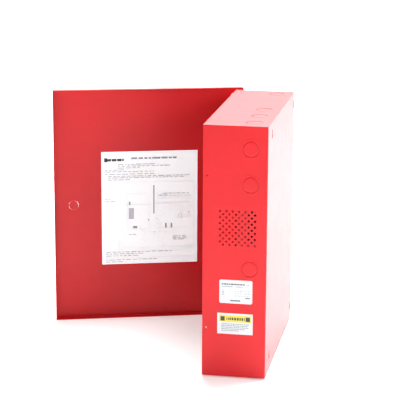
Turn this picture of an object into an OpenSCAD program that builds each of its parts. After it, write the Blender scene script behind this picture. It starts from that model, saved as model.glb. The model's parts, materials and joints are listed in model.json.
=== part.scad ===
// Wall-mounted fire alarm control panel: folded steel cabinet, hinged door, two circuit boards
// and two standby batteries. Millimetres. The origin is the centre of the back wall's outer face,
// the front faces -Y and +Z is up. The door stands open.

/* [Cabinet] */
// Width of the cabinet
cab_w = 368.3; // [360:0.1:400]
// Height of the cabinet
cab_h = 457.2; // [450:0.1:500]
// Depth of the cabinet without the door
cab_d = 114.3; // [110:0.1:130]
// Thickness of the sheet steel
sheet = 1.5; // [1.2:0.1:2]
// Width of the lip turned inwards round the front
lip = 12; // [8:0.5:14]
// Outer radius of the folded back corners
fold_r = 2; // [2:0.1:3]

/* [Door] */
// How far the door stands open from closed, in degrees
door_open = 72; // [0:1:180]
// Gap between the cabinet and the door on every side
door_gap = 1; // [0.8:0.1:1.5]
// Gap between the cabinet's front edge and the door's inner face
front_gap = 1.7; // [1.6:0.1:2.5]
// Depth of the door's folded rim
rim = 14.5; // [13:0.5:16]
// Outer radius of the door's edges
door_r = 2.5; // [2:0.1:3]
// Radius of the blanked-off lock hole
lock_r = 9.5; // [8:0.5:10]

/* [Hinges] */
// Distance of the hinge pin from the left wall
pin_out = 7.5; // [7.5:0.1:9]
// Distance of the hinge pin behind the cabinet's front edge
pin_back = 20.5; // [20:0.1:24]
// Length of one hinge
hinge_len = 50; // [40:1:70]
// Height of each hinge above and below the middle
hinge_z = 150; // [120:1:180]
// Radius of the hinge pin
pin_r = 2; // [1.5:0.1:2]

/* [Openings] */
// Radius of a conduit knock-out, 3/4 in trade size
knock_r = 14.3; // [10:0.1:15]
// Radius of a vent hole
vent_r = 2; // [1:0.1:2.2]
// Spacing of the wall screws across
screw_x = 304.8; // [280:0.1:306]
// Spacing of the wall screws up
screw_z = 406.4; // [380:0.1:410]
// Radius of a keyhole's round entry
key_r = 4.6; // [4:0.1:5]

/* [Boards] */
// Height of the posts under each board
post_h = 12.7; // [8:0.1:14]
// Width of the control board
control_w = 186; // [186:1:190]
// Width of the power supply board
supply_w = 118; // [118:1:120]
// Height of both boards
board_h = 186; // [186:1:190]

/* [Hidden] */

red = [0.82, 0.13, 0.14];
steel = [0.75, 0.76, 0.78];
board_green = [0.08, 0.36, 0.2];
black = [0.09, 0.09, 0.1];
white = [0.95, 0.95, 0.93];

eps = 0.01;          // past a face, so that a cut goes right through
round_fn = 48;       // steps of a round edge
half_w = cab_w / 2;
half_h = cab_h / 2;
front_y = -cab_d;
inner_y = -sheet;    // inner face of the back wall

// door, drawn closed and then swung open about the hinge pin
door_x = half_w + door_gap + sheet;
door_z = half_h + door_gap + sheet;
door_y = front_y - front_gap - sheet;
pin_x = -half_w - pin_out;
pin_y = front_y + pin_back;
knuckle_r = pin_r + 1.5;
knuckle_gap = 0.3;
knuckle_len = (hinge_len - 2 * knuckle_gap) / 3;
leaf_t = 1.5;
leaf_len = 22;
pin_play = 0.05;
rivet_r = 1.6;
rivet_zs = [-15, 15];
door_rivet_y = 15.5; // in front of the pin
body_rivet_y = 14;   // behind the pin

// lock hole near the free edge, and a drain slot in the bottom rim
lock_x = 148.2;
notch_x = 88;
notch_l = 10;
notch_d = 4;

// cover screws through the door's rim into the right wall
cover_screw_z = 139;
cover_screw_y = front_y + 7.1;
cover_screw_r = 1.75;
cover_clear_r = 2.2;

// stuck-on sheets: width, height, and their middles
label_t = 0.2;
rating_size = [59, 43];
rating_at = [-54, -70];
caution_size = [63.8, 38.4];
caution_at = [-54.9, -129.3];
wiring_size = [190.5, 228.6];
wiring_at = [-2, -8.5];

// conduit knock-outs
knock_gap = 0.4;
knock_sink = 0.4;
knock_tie = 3;
knock_y = -30.2;
side_knock_zs = [188.5, 125, -27];
top_knock_xs = [147.3, 83.8, 20.3, -152.4];

// vents: staggered columns of holes
vent_columns = 12;
vent_rows = 6;
vent_pitch_y = 5.62;
vent_pitch_z = 11;
vent_y = -83.2;
vent_top = 76.3;

// keyholes for the wall screws, nearer the hinge side
key_x = -19;
slot_r = 2.4;
slot_up = 9;

// boards
board_t = 1.6;
board_back = inner_y - post_h;
board_front = board_back - board_t;
control_x = 72;
supply_x = -105;
board_z = 105;
post_inset = 6;
post_r = 3;
board_hole_r = 1.75;
board_screw_r = 1.6;

// terminal blocks
way = 7.62;
block_d = 14;
block_h = 15;
block_ways = 6;
well_r = 2.9;
well_floor = 9;
output_xs = [control_x - 52, control_x, control_x + 52];
output_z = board_z + board_h / 2 - 12;
input_xs = [control_x - 52, control_x];
input_z = board_z - board_h / 2 + 12;

// other pieces of the control board: width, length and height
relay_size = [15.5, 19, 14.5];
relay_cap = [13.5, 17, 0.9];
relay_pitch = 26;
relay_count = 5;
relay_z = board_z + 46;
disc_size = [10, 3.6, 8];
disc_leg = 2.5;
disc_leg_r = 0.5;
disc_z = board_z + 24;
chip_size = [25, 25, 4.2];
chip_z = board_z - 16;
small_chip = [13, 7, 3.4];
small_chip_places = [[-60, -6], [-60, -26], [-36, -40], [36, -6], [60, -6], [-10, -46]];
lamp_r = 1.5;
lamp_h = 3.8;
lamp_count = 6;
lamp_pitch = 8;
lamp_x = control_x + 80;
lamp_z = board_z - 30;
can_r = 5;
can_h = 13;
can_places = [[-80, 32], [-80, -24], [-80, -46], [20, -46]];

// sockets: one on each board for the harness, and a taller one for the battery leads
socket_w = 14;
socket_l = 9;
socket_h = 10;
batt_socket_h = 20;
batt_socket_x = -82;
batt_socket_z = 32;
harness_start_x = supply_x + supply_w / 2 - 10;
harness_end_x = control_x - control_w / 2 + 10;

// switch block
dip_ways = 8;
dip_pitch = 2.54;
dip_x = control_x + 52;
dip_z = board_z - 52;
dip_w = 22;
dip_l = 10;
dip_h = 4.6;
dip_slot_w = 1.5;
dip_slot_l = 4;
dip_slot_depth = 1.8;
dip_key_w = 1.2;
dip_key_l = 1.6;
dip_key_h = 2.6;
dip_play = 0.2;

// power supply pieces
core_x = supply_x + 14;
core_z = board_z + 52;
core_w = 66;
core_l = 55;
leg_w = 22;
window_w = 11;
window_l = 33;
core_low = 8;
core_high = 34;
// each heat sink: place across, place up, length, width, height
supply_sink = [supply_x + 30, board_z - 18, 60, 26, 32];
driver_sink = [control_x + 75, board_z - 62.5, 59, 14, 24];
sink_base = 4;
fin_t = 1.6;
fin_gap = 8.1;
device_size = [4.6, 10, 16];
device_leg = 7;
supply_devices = [-19, 0, 19];
driver_devices = [-18, 22];
big_can_r = 11.5;
big_can_h = 36;
big_can_places = [[-14, -18], [-14, -48]];
mid_can_r = 8;
mid_can_h = 22;
mid_can_at = [22, -59];
choke_at = [-40, 22];
choke_ring_r = 8;
choke_wire_r = 4.5;
fuse_l = 20;
cap_l = 5;
fuse_r = 2.4;
cap_r = 2.6;
fuse_x = supply_x - 38;
fuse_z = board_z - 18;
fuse_y = 9;
mains_x = supply_x - 30;
mains_z = board_z - board_h / 2 + 12;
big_way = 11;
big_ways = 3;

// earth stud on the back wall
stud_at = [-172, -30];
stud_r = 2;
stud_l = 16;
stud_hole_r = 2.02;

// batteries
batt_w = 151;
batt_d = 65;
batt_h = 94;
batt_gap = 6;
batt_floor = -half_h + sheet;
batt_top = batt_floor + batt_h;
batt_y = inner_y - sheet - 0.5 - batt_d / 2;
batt_x = (batt_w + batt_gap) / 2;
tab_size = [6.3, 0.8, 7];
tab_y = -53;
tab_xs = [-145, -12, 12, 145];
sleeve_size = [8.6, 5, 14];
sleeve_up = 2.9;
sleeve_slot = [6.5, 1];
lead_r = 1.4;
wire_r = 0.8;

// routes of the wires, from end to end
red_route = [
    [-145, -53, -116.2], [-145, -53, -104], [-144, -51, -84], [-140, -47, -62],
    [-132, -42, -40], [-122, -38, -20], [-108, -34, -4], [-94, -32, 7], [-85, -31, 17], [-85, -31, 27.5]
];
black_route = [
    [145, -53, -116.2], [145, -53, -104], [140, -51, -86], [120, -48, -66],
    [86, -46, -52], [40, -44, -42], [-8, -41, -32], [-50, -37, -16], [-79, -31, 12], [-79, -31, 27.5]
];
jumper_route = [
    [-12, -53, -116.2], [-12, -53, -108], [-8, -53.5, -99], [0, -54, -95],
    [8, -53.5, -99], [12, -53, -108], [12, -53, -116.2]
];
ground_route = [
    [-172, -11.1, -21.5], [-172, -11.6, -14], [-169, -14, -7], [-161, -18, -1],
    [-150, -21, 4], [-146, -21, 10], [-146, -21, 20]
];
harness_rows = 4;
harness_pitch = 2.5;
harness_z = board_z + 2;

// ---------- shared shapes ----------

// Puts a flat drawing on the front of the boards: x across, y up, z out towards the door
module on_boards(x, z) {
    translate([x, board_front, z])
        rotate([90, 0, 0])
            children();
}

// Swings what is drawn closed about the hinge pin
module swung() {
    translate([pin_x, pin_y, 0])
        rotate([0, 0, -door_open])
            translate([-pin_x, -pin_y, 0])
                children();
}

module block(w, l, h) {
    translate([-w / 2, -l / 2, 0])
        cube([w, l, h]);
}

module hole_along_x(x, y, z, r, length) {
    translate([x - length / 2, y, z])
        rotate([0, 90, 0])
            cylinder(h = length, r = r, $fn = round_fn);
}

module hole_along_z(x, y, z, r, length) {
    translate([x, y, z - length / 2])
        cylinder(h = length, r = r, $fn = round_fn);
}

// Disc still held in its hole by two narrow ties
module slug(r, tie, gap) {
    cylinder(h = sheet, r = r - gap, $fn = round_fn);
    intersection() {
        cylinder(h = sheet, r = r, $fn = round_fn);
        translate([-r, -tie / 2, 0])
            cube([2 * r, tie, sheet]);
    }
}

module rounded_plate(w, l, h, r) {
    block(w - 2 * r, l, h);
    block(w, l - 2 * r, h);
    for (x = [-1, 1], y = [-1, 1])
        translate([x * (w / 2 - r), y * (l / 2 - r), 0])
            cylinder(h = h, r = r, $fn = round_fn);
}

function unit(v) = v / norm(v);
function heading(p, i) =
    i == 0 ? unit(p[1] - p[0]) :
    i == len(p) - 1 ? unit(p[i] - p[i - 1]) :
    unit(unit(p[i] - p[i - 1]) + unit(p[i + 1] - p[i]));
function square_to(v, d) = unit(v - (v * d) * d);
// Side direction at each point, carried along the path so that the tube doesn't twist
function side_at(p, i) =
    i == 0 ? square_to([0.31, 0.83, 0.47], heading(p, 0)) :
    square_to(side_at(p, i - 1), heading(p, i));

// Round wire through a list of points, with flat ends
module wire(p, r) {
    sides = 8;
    n = len(p);
    ring = [
        for (i = [0 : n - 1])
            let (d = heading(p, i), s = side_at(p, i), c = cross(d, s))
                for (k = [0 : sides - 1])
                    p[i] + r * (cos(360 * k / sides) * s + sin(360 * k / sides) * c)
    ];
    walls = [
        for (i = [0 : n - 2], k = [0 : sides - 1])
            let (a = i * sides + k, b = i * sides + (k + 1) % sides)
                [a, a + sides, b + sides, b]
    ];
    start = [for (k = [0 : sides - 1]) k];
    finish = [for (k = [0 : sides - 1]) n * sides - 1 - k];
    polyhedron(points = ring, faces = concat(walls, [start], [finish]), convexity = 6);
}

// ---------- cabinet ----------

// Plan of the cabinet with rounded back corners
module cabinet_plan(inset, r) {
    w = half_w - inset;
    translate([-w, front_y - eps])
        square([2 * w, cab_d - inset - r + eps]);
    translate([-w + r, -inset - r - eps])
        square([2 * (w - r), r + eps]);
    for (side = [-1, 1])
        translate([side * (w - r), -inset - r])
            circle(r = r, $fn = round_fn);
}

module keyholes() {
    for (x = [-1, 1], z = [-1, 1])
        translate([key_x + x * screw_x / 2, eps, z * screw_z / 2])
            rotate([90, 0, 0])
                linear_extrude(height = sheet + 2 * eps) {
                    circle(r = key_r, $fn = round_fn);
                    translate([-slot_r, 0])
                        square([2 * slot_r, slot_up]);
                    translate([0, slot_up])
                        circle(r = slot_r, $fn = round_fn);
                }
}

module vents() {
    for (column = [0 : vent_columns - 1], row = [0 : vent_rows - 1])
        translate([
            -half_w - 1,
            vent_y + column * vent_pitch_y,
            vent_top - row * vent_pitch_z - (column % 2) * vent_pitch_z / 2
        ])
            rotate([0, 90, 0])
                cylinder(h = cab_w + 2, r = vent_r, $fn = 24);
}

module cabinet_wrap() color(red) {
    wall_h = cab_h - 2 * sheet;
    difference() {
        translate([0, 0, -wall_h / 2])
            linear_extrude(height = wall_h, convexity = 6)
                intersection() {
                    translate([-half_w, front_y])
                        square([cab_w, cab_d]);
                    difference() {
                        cabinet_plan(0, fold_r);
                        cabinet_plan(sheet, fold_r - sheet);
                    }
                }
        keyholes();
        vents();
        for (z = side_knock_zs)
            hole_along_x(0, knock_y, z, knock_r, cab_w + 2);
        for (z = [-cover_screw_z, cover_screw_z])
            hole_along_x(half_w, cover_screw_y, z, cover_screw_r, 2 * lip);
        for (z = [-hinge_z, hinge_z], dz = rivet_zs)
            hole_along_x(-half_w, pin_y + body_rivet_y, z + dz, rivet_r, 4 * sheet);
    }
    for (side = [-1, 1])
        translate([side * (half_w - sheet - (lip - sheet) / 2), front_y, -wall_h / 2])
            translate([-(lip - sheet) / 2, 0, 0])
                cube([lip - sheet, sheet, wall_h]);
}

// Top or bottom plate with its flange welded inside the wrap
module end_plate() {
    flange_w = cab_w - 2 * sheet - 2;
    flange_h = 12;
    lip_w = cab_w - 2 * lip - 1;
    difference() {
        translate([-half_w, front_y, half_h - sheet])
            cube([cab_w, cab_d, sheet]);
        for (side = [-1, 1])
            translate([side * half_w, 0, half_h - sheet - eps])
                difference() {
                    translate([-fold_r, -fold_r, 0])
                        cube([2 * fold_r, 2 * fold_r, sheet + 2 * eps]);
                    translate([-side * fold_r, -fold_r, -eps])
                        cylinder(h = sheet + 4 * eps, r = fold_r, $fn = round_fn);
                }
    }
    translate([-flange_w / 2, inner_y - sheet, half_h - sheet - flange_h])
        cube([flange_w, sheet, flange_h]);
    translate([-lip_w / 2, front_y, half_h - lip])
        cube([lip_w, sheet, lip - sheet]);
}

module cabinet_top() color(red) {
    tab_w = 24;
    tab_out = 1.2;
    difference() {
        end_plate();
        for (x = top_knock_xs)
            hole_along_z(x, knock_y, half_h, knock_r, 4 * sheet);
    }
    translate([-half_w + 38, front_y - tab_out, half_h - 5])
        cube([tab_w, tab_out, 5]);
}

module cabinet_bottom() color(red)
    mirror([0, 0, 1])
        end_plate();

module cabinet_knockouts() color(red) {
    for (z = side_knock_zs) {
        translate([half_w - sheet - knock_sink, knock_y, z])
            rotate([0, 90, 0])
                slug(knock_r, knock_tie, knock_gap);
        translate([-half_w + sheet + knock_sink, knock_y, z])
            rotate([0, -90, 0])
                slug(knock_r, knock_tie, knock_gap);
    }
    for (x = top_knock_xs)
        translate([x, knock_y, half_h - sheet - knock_sink])
            slug(knock_r, knock_tie, knock_gap);
}

module rating_label() color(white)
    translate([half_w, rating_at[0], rating_at[1]])
        rotate([90, 0, 90])
            rounded_plate(rating_size[0], rating_size[1], label_t, 3);

module caution_label() color(white)
    translate([half_w, caution_at[0], caution_at[1]])
        rotate([90, 0, 90])
            block(caution_size[0], caution_size[1], label_t);

// ---------- hinges ----------

// Plan of one leaf: knuckle ring, joggle and plate, with the pin at the middle
module body_leaf_plan() {
    circle(r = knuckle_r, $fn = round_fn);
    translate([0, knuckle_r - leaf_t])
        square([pin_out, leaf_t]);
    translate([pin_out - leaf_t, knuckle_r - leaf_t])
        square([leaf_t, leaf_len]);
}

module door_leaf_plan() {
    reach = pin_out - door_gap - sheet;
    circle(r = knuckle_r, $fn = round_fn);
    translate([0, -knuckle_r])
        square([reach, leaf_t]);
    translate([reach - leaf_t, -leaf_len])
        square([leaf_t, leaf_len - knuckle_r + leaf_t]);
}

module body_leaf() {
    room_w = pin_out + knuckle_r - leaf_t - knuckle_gap + 1;
    difference() {
        translate([0, 0, -hinge_len / 2])
            linear_extrude(height = hinge_len)
                body_leaf_plan();
        // room for the door's knuckle
        translate([-knuckle_r - 1, -knuckle_r - 1, -knuckle_len / 2 - knuckle_gap])
            cube([room_w, 2 * knuckle_r + 2, knuckle_len + 2 * knuckle_gap]);
        hole_along_z(0, 0, 0, pin_r + pin_play, hinge_len + 2);
        for (dz = rivet_zs)
            hole_along_x(pin_out, body_rivet_y, dz, rivet_r, 4 * sheet);
    }
}

module door_leaf() {
    room_l = hinge_len / 2 - knuckle_len / 2 + 1;
    room_mid = (knuckle_len + room_l) / 2;
    difference() {
        translate([0, 0, -hinge_len / 2])
            linear_extrude(height = hinge_len)
                door_leaf_plan();
        // room for the cabinet's two knuckles
        for (side = [-1, 1])
            translate([-knuckle_r - 1, -knuckle_r - 1, side * room_mid - room_l / 2])
                cube([3 * knuckle_r + 2, 2 * knuckle_r + 2, room_l]);
        hole_along_z(0, 0, 0, pin_r + pin_play, hinge_len + 2);
        for (dz = rivet_zs)
            hole_along_x(pin_out - door_gap - sheet, -door_rivet_y, dz, rivet_r, 4 * sheet);
    }
}

module cabinet_hinge_leaves() color(red)
    for (z = [-hinge_z, hinge_z])
        translate([pin_x, pin_y, z])
            body_leaf();

module cabinet_hinge_rivets() color(red)
    for (z = [-hinge_z, hinge_z], dz = rivet_zs)
        translate([-half_w, pin_y + body_rivet_y, z + dz])
            rotate([0, 90, 0]) {
                translate([0, 0, -leaf_t - 1])
                    cylinder(h = 1, r = 3, $fn = round_fn);
                translate([0, 0, -leaf_t])
                    cylinder(h = leaf_t + sheet, r = rivet_r, $fn = round_fn);
                translate([0, 0, sheet])
                    cylinder(h = 0.8, r = 2.4, $fn = round_fn);
            }

module hinge_pins() color(steel)
    for (z = [-hinge_z, hinge_z])
        translate([pin_x, pin_y, z]) {
            translate([0, 0, -hinge_len / 2])
                cylinder(h = hinge_len, r = pin_r, $fn = round_fn);
            for (end = [-hinge_len / 2 - 1, hinge_len / 2])
                translate([0, 0, end])
                    cylinder(h = 1, r = pin_r + 1, $fn = round_fn);
        }

module door_hinge_leaves() color(red)
    swung()
        for (z = [-hinge_z, hinge_z])
            translate([pin_x, pin_y, z])
                door_leaf();

module door_hinge_rivets() color(red)
    swung()
        for (z = [-hinge_z, hinge_z], dz = rivet_zs)
            translate([-door_x, pin_y - door_rivet_y, z + dz])
                rotate([0, 90, 0]) {
                    translate([0, 0, -leaf_t - 1])
                        cylinder(h = 1, r = 3, $fn = round_fn);
                    translate([0, 0, -leaf_t])
                        cylinder(h = leaf_t + sheet, r = rivet_r, $fn = round_fn);
                }

// ---------- door ----------

// Block open at the back whose front edges and corners are rounded
module tray(x, z, front, depth, r) {
    translate([-x + r, front, -z + r])
        cube([2 * (x - r), depth, 2 * (z - r)]);
    translate([-x, front + r, -z + r])
        cube([2 * x, depth - r, 2 * (z - r)]);
    translate([-x + r, front + r, -z])
        cube([2 * (x - r), depth - r, 2 * z]);
    for (sx = [-1, 1], sz = [-1, 1])
        translate([sx * (x - r), front + r, sz * (z - r)]) {
            sphere(r = r, $fn = round_fn);
            rotate([-90, 0, 0])
                cylinder(h = depth - r, r = r, $fn = round_fn);
        }
    for (sz = [-1, 1])
        translate([-x + r, front + r, sz * (z - r)])
            rotate([0, 90, 0])
                cylinder(h = 2 * (x - r), r = r, $fn = round_fn);
    for (sx = [-1, 1])
        translate([sx * (x - r), front + r, -z + r])
            cylinder(h = 2 * (z - r), r = r, $fn = round_fn);
}

module door_panel() color(red)
    swung()
        difference() {
            tray(door_x, door_z, door_y, rim, door_r);
            tray(door_x - sheet, door_z - sheet, door_y + sheet, rim, door_r - sheet);
            translate([lock_x, door_y - 1, 0])
                rotate([-90, 0, 0])
                    cylinder(h = sheet + 2, r = lock_r, $fn = round_fn);
            for (z = [-cover_screw_z, cover_screw_z])
                hole_along_x(door_x, cover_screw_y, z, cover_clear_r, 4 * sheet);
            for (z = [-hinge_z, hinge_z], dz = rivet_zs)
                hole_along_x(-door_x, pin_y - door_rivet_y, z + dz, rivet_r, 4 * sheet);
            translate([notch_x - notch_l / 2, door_y + rim - 3 - notch_d, -door_z - 1])
                cube([notch_l, notch_d, sheet + 2]);
        }

module lock_knockout() color(red)
    swung()
        translate([lock_x, door_y + sheet, 0])
            rotate([90, 0, 0])
                slug(lock_r, 2, 0.35);

module wiring_label() color(white)
    swung()
        translate([wiring_at[0], door_y + sheet + label_t, wiring_at[1]])
            rotate([90, 0, 0])
                block(wiring_size[0], wiring_size[1], label_t);

// ---------- boards ----------

module board_corners(w) {
    for (x = [-1, 1], z = [-1, 1])
        translate([x * (w / 2 - post_inset), z * (board_h / 2 - post_inset), 0])
            children();
}

module board(w) {
    difference() {
        translate([0, 0, -board_t])
            block(w, board_h, board_t);
        board_corners(w)
            translate([0, 0, -board_t - 1])
                cylinder(h = board_t + 2, r = board_hole_r, $fn = round_fn);
    }
}

// Six-sided posts on the back wall
module posts(w) {
    board_corners(w)
        translate([0, 0, -board_t - post_h])
            difference() {
                cylinder(h = post_h, r = post_r, $fn = 6);
                translate([0, 0, post_h - 6])
                    cylinder(h = 7, r = board_screw_r, $fn = round_fn);
            }
}

module board_screw() {
    head_h = 2.2;
    shank = 5;
    difference() {
        cylinder(h = head_h, r = 2.8, $fn = round_fn);
        for (turn = [0, 90])
            rotate([0, 0, turn])
                translate([-2, -0.3, head_h - 1.2])
                    cube([4, 0.6, 2]);
    }
    translate([0, 0, -shank])
        cylinder(h = shank, r = board_screw_r - 0.02, $fn = round_fn);
}

module control_board() color(board_green)
    on_boards(control_x, board_z)
        board(control_w);

module control_posts() color(steel)
    on_boards(control_x, board_z)
        posts(control_w);

module control_screws() color(steel)
    on_boards(control_x, board_z)
        board_corners(control_w)
            board_screw();

module supply_board() color(board_green)
    on_boards(supply_x, board_z)
        board(supply_w);

module supply_posts() color(steel)
    on_boards(supply_x, board_z)
        posts(supply_w);

module supply_screws() color(steel)
    on_boards(supply_x, board_z)
        board_corners(supply_w)
            board_screw();

// Row of screw clamps: a stepped body with a well over each screw and a wire mouth in front
module clamp_block(ways, pitch, depth, height, floor_z) {
    length = ways * pitch;
    mouth = pitch * 0.6;
    difference() {
        union() {
            block(length, depth, height * 0.62);
            translate([0, depth * 0.1, 0])
                block(length, depth * 0.7, height);
        }
        for (i = [0 : ways - 1])
            translate([(i - (ways - 1) / 2) * pitch, 0, 0]) {
                translate([0, depth * 0.1, floor_z])
                    cylinder(h = height, r = pitch * 0.38, $fn = round_fn);
                translate([-mouth / 2, -depth / 2 - 1, 2])
                    cube([mouth, depth * 0.4 + 1, mouth]);
            }
    }
}

module clamp_screw(r) {
    difference() {
        cylinder(h = 2.6, r = r, $fn = round_fn);
        translate([-r - 1, -0.45, 1.6])
            cube([2 * r + 2, 0.9, 2]);
    }
}

module clamp_screws(ways, pitch, depth, floor_z, r) {
    for (i = [0 : ways - 1])
        translate([(i - (ways - 1) / 2) * pitch, depth * 0.1, floor_z])
            clamp_screw(r);
}

module output_terminals() color(black)
    for (x = output_xs)
        on_boards(x, output_z)
            rotate([0, 0, 180])
                clamp_block(block_ways, way, block_d, block_h, well_floor);

module input_terminals() color(black)
    for (x = input_xs)
        on_boards(x, input_z)
            clamp_block(block_ways, way, block_d, block_h, well_floor);

module terminal_screws() color(steel) {
    for (x = output_xs)
        on_boards(x, output_z)
            rotate([0, 0, 180])
                clamp_screws(block_ways, way, block_d, well_floor, well_r - 0.4);
    for (x = input_xs)
        on_boards(x, input_z)
            clamp_screws(block_ways, way, block_d, well_floor, well_r - 0.4);
    on_boards(mains_x, mains_z)
        clamp_screws(big_ways, big_way, 18, 11, 3.4);
}

module relays() color([0.2, 0.32, 0.62])
    for (i = [0 : relay_count - 1])
        on_boards(control_x + (i - (relay_count - 1) / 2) * relay_pitch, relay_z) {
            block(relay_size[0], relay_size[1], relay_size[2]);
            translate([0, 0, relay_size[2]])
                block(relay_cap[0], relay_cap[1], relay_cap[2]);
        }

module output_fuses() color([0.86, 0.67, 0.12])
    for (i = [0 : relay_count - 1])
        on_boards(control_x + (i - (relay_count - 1) / 2) * relay_pitch, disc_z) {
            translate([0, 0, disc_leg])
                block(disc_size[0], disc_size[1], disc_size[2]);
            for (side = [-1, 1])
                translate([side * disc_size[0] * 0.3, 0, 0])
                    cylinder(h = disc_leg, r = disc_leg_r, $fn = 16);
        }

module controller_chip() color(black)
    on_boards(control_x, chip_z)
        difference() {
            block(chip_size[0], chip_size[1], chip_size[2]);
            // cut corner and round dimple that mark the first leg
            translate([-chip_size[0] / 2, chip_size[1] / 2, -1])
                rotate([0, 0, 45])
                    block(3, 3, chip_size[2] + 2);
            translate([-8.5, 8.5, chip_size[2] - 0.4])
                cylinder(h = 1, r = 1.2, $fn = round_fn);
        }

module small_chips() color(black)
    for (p = small_chip_places)
        on_boards(control_x + p[0], board_z + p[1])
            difference() {
                block(small_chip[0], small_chip[1], small_chip[2]);
                translate([-small_chip[0] / 2, 0, small_chip[2] - 0.8])
                    cylinder(h = 2, r = 1, $fn = round_fn);
            }

module status_lamps() color([0.2, 0.8, 0.25])
    for (i = [0 : lamp_count - 1])
        on_boards(lamp_x, lamp_z + i * lamp_pitch) {
            cylinder(h = 1, r = lamp_r + 0.4, $fn = round_fn);
            cylinder(h = lamp_h, r = lamp_r, $fn = round_fn);
            translate([0, 0, lamp_h])
                sphere(r = lamp_r, $fn = round_fn);
        }

module control_capacitors() color([0.12, 0.14, 0.3])
    for (p = can_places)
        on_boards(control_x + p[0], board_z + p[1])
            cylinder(h = can_h, r = can_r, $fn = round_fn);

module board_sockets() color(white) {
    for (x = [harness_start_x, harness_end_x])
        on_boards(x, harness_z)
            block(socket_l, socket_w, socket_h);
    on_boards(batt_socket_x, batt_socket_z)
        block(socket_w, socket_l, batt_socket_h);
}

// ---------- switch block ----------

module dip_at(i) {
    translate([(i - (dip_ways - 1) / 2) * dip_pitch, 0, 0])
        children();
}

module dip_switch_body() color([0.75, 0.1, 0.12])
    on_boards(dip_x, dip_z)
        difference() {
            block(dip_w, dip_l, dip_h);
            for (i = [0 : dip_ways - 1])
                dip_at(i)
                    translate([0, 0, dip_h - dip_slot_depth])
                        block(dip_slot_w, dip_slot_l, dip_slot_depth + 1);
        }

// Slider in its slot, at the off end
module dip_slider(i) color(white)
    on_boards(dip_x, dip_z)
        dip_at(i)
            translate([
                0,
                -(dip_slot_l - dip_key_l) / 2 + dip_play,
                dip_h - dip_slot_depth + 0.02
            ])
                block(dip_key_w, dip_key_l, dip_key_h);

// ---------- power supply ----------

module transformer_core() color([0.35, 0.35, 0.37])
    on_boards(core_x, core_z)
        translate([0, 0, core_low])
            difference() {
                block(core_w, core_l, core_high - core_low);
                for (side = [-1, 1])
                    translate([side * (leg_w + window_w) / 2, 0, -1])
                        block(window_w, window_l, core_high);
            }

module transformer_coil() color([0.78, 0.62, 0.16])
    on_boards(core_x, core_z)
        difference() {
            block(leg_w + 2 * window_w - 0.6, window_l - 0.6, core_high + 8);
            translate([0, 0, core_low])
                block(leg_w + 0.4, window_l, core_high - core_low);
        }

// Extruded sink: a plate with fins to its right
module fin_sink(place) {
    length = place[2];
    width = place[3];
    fins = round((length - fin_t) / (fin_t + fin_gap));
    pitch = (length - fin_t) / fins;
    on_boards(place[0], place[1]) {
        translate([-width / 2, -length / 2, 0])
            cube([sink_base, length, place[4]]);
        for (i = [0 : fins])
            translate([-width / 2 + sink_base - eps, -length / 2 + i * pitch, 0])
                cube([width - sink_base + eps, fin_t, place[4]]);
    }
}

module heat_sink() color([0.13, 0.13, 0.14]) {
    fin_sink(supply_sink);
    fin_sink(driver_sink);
}

// Transistors clamped flat on the left face of a sink
module devices_on(place, offsets) {
    for (offset = offsets)
        on_boards(place[0] - place[3] / 2, place[1] + offset) {
            translate([-device_size[0], -device_size[1] / 2, device_leg])
                cube(device_size);
            for (leg = [-2.5, 0, 2.5])
                translate([-2.6, leg - 0.4, 0])
                    cube([0.6, 0.8, device_leg]);
        }
}

module power_devices() color(black) {
    devices_on(supply_sink, supply_devices);
    devices_on(driver_sink, driver_devices);
}

module supply_capacitors() color([0.12, 0.14, 0.3]) {
    for (p = big_can_places)
        on_boards(supply_x + p[0], board_z + p[1])
            cylinder(h = big_can_h, r = big_can_r, $fn = round_fn);
    on_boards(supply_x + mid_can_at[0], board_z + mid_can_at[1])
        cylinder(h = mid_can_h, r = mid_can_r, $fn = round_fn);
}

module mains_terminals() color(black)
    on_boards(mains_x, mains_z)
        clamp_block(big_ways, big_way, 18, 19, 11);

module mains_fuse() color([0.85, 0.9, 0.92, 0.5])
    on_boards(fuse_x, fuse_z)
        translate([0, (fuse_l - 2 * cap_l) / 2, fuse_y])
            rotate([90, 0, 0])
                cylinder(h = fuse_l - 2 * cap_l, r = fuse_r, $fn = round_fn);

module fuse_caps() color(steel)
    on_boards(fuse_x, fuse_z)
        for (side = [-1, 1])
            translate([0, side * (fuse_l - cap_l) / 2 + cap_l / 2, fuse_y])
                rotate([90, 0, 0])
                    cylinder(h = cap_l, r = cap_r, $fn = round_fn);

module fuse_clips() color(steel)
    on_boards(fuse_x, fuse_z)
        for (side = [-1, 1])
            translate([0, side * (fuse_l - cap_l) / 2, 0])
                difference() {
                    block(7, 4, fuse_y + 2);
                    translate([0, 3, fuse_y])
                        rotate([90, 0, 0])
                            cylinder(h = 6, r = cap_r + 0.1, $fn = round_fn);
                    translate([0, 0, fuse_y])
                        block(3.6, 5, 5);
                    translate([0, 0, -1])
                        block(5, 5, fuse_y - 1.8);
                }

module choke() color([0.72, 0.4, 0.15])
    on_boards(supply_x + choke_at[0], board_z + choke_at[1])
        translate([0, 0, choke_wire_r])
            rotate_extrude($fn = round_fn)
                translate([choke_ring_r, 0])
                    circle(r = choke_wire_r, $fn = round_fn);

// ---------- wiring ----------

// Flat loop of separate wires from one board's socket to the other's
module board_harness() color([0.85, 0.75, 0.2]) {
    out = board_front - socket_h;
    for (i = [0 : harness_rows - 1]) {
        z = harness_z + (i - (harness_rows - 1) / 2) * harness_pitch;
        wire([
            [harness_start_x, out, z],
            [harness_start_x, out - 5, z],
            [harness_start_x + 4, out - 10, z],
            [(harness_start_x + harness_end_x) / 2, out - 12, z],
            [harness_end_x - 4, out - 10, z],
            [harness_end_x, out - 5, z],
            [harness_end_x, out, z]
        ], wire_r);
    }
}

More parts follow.
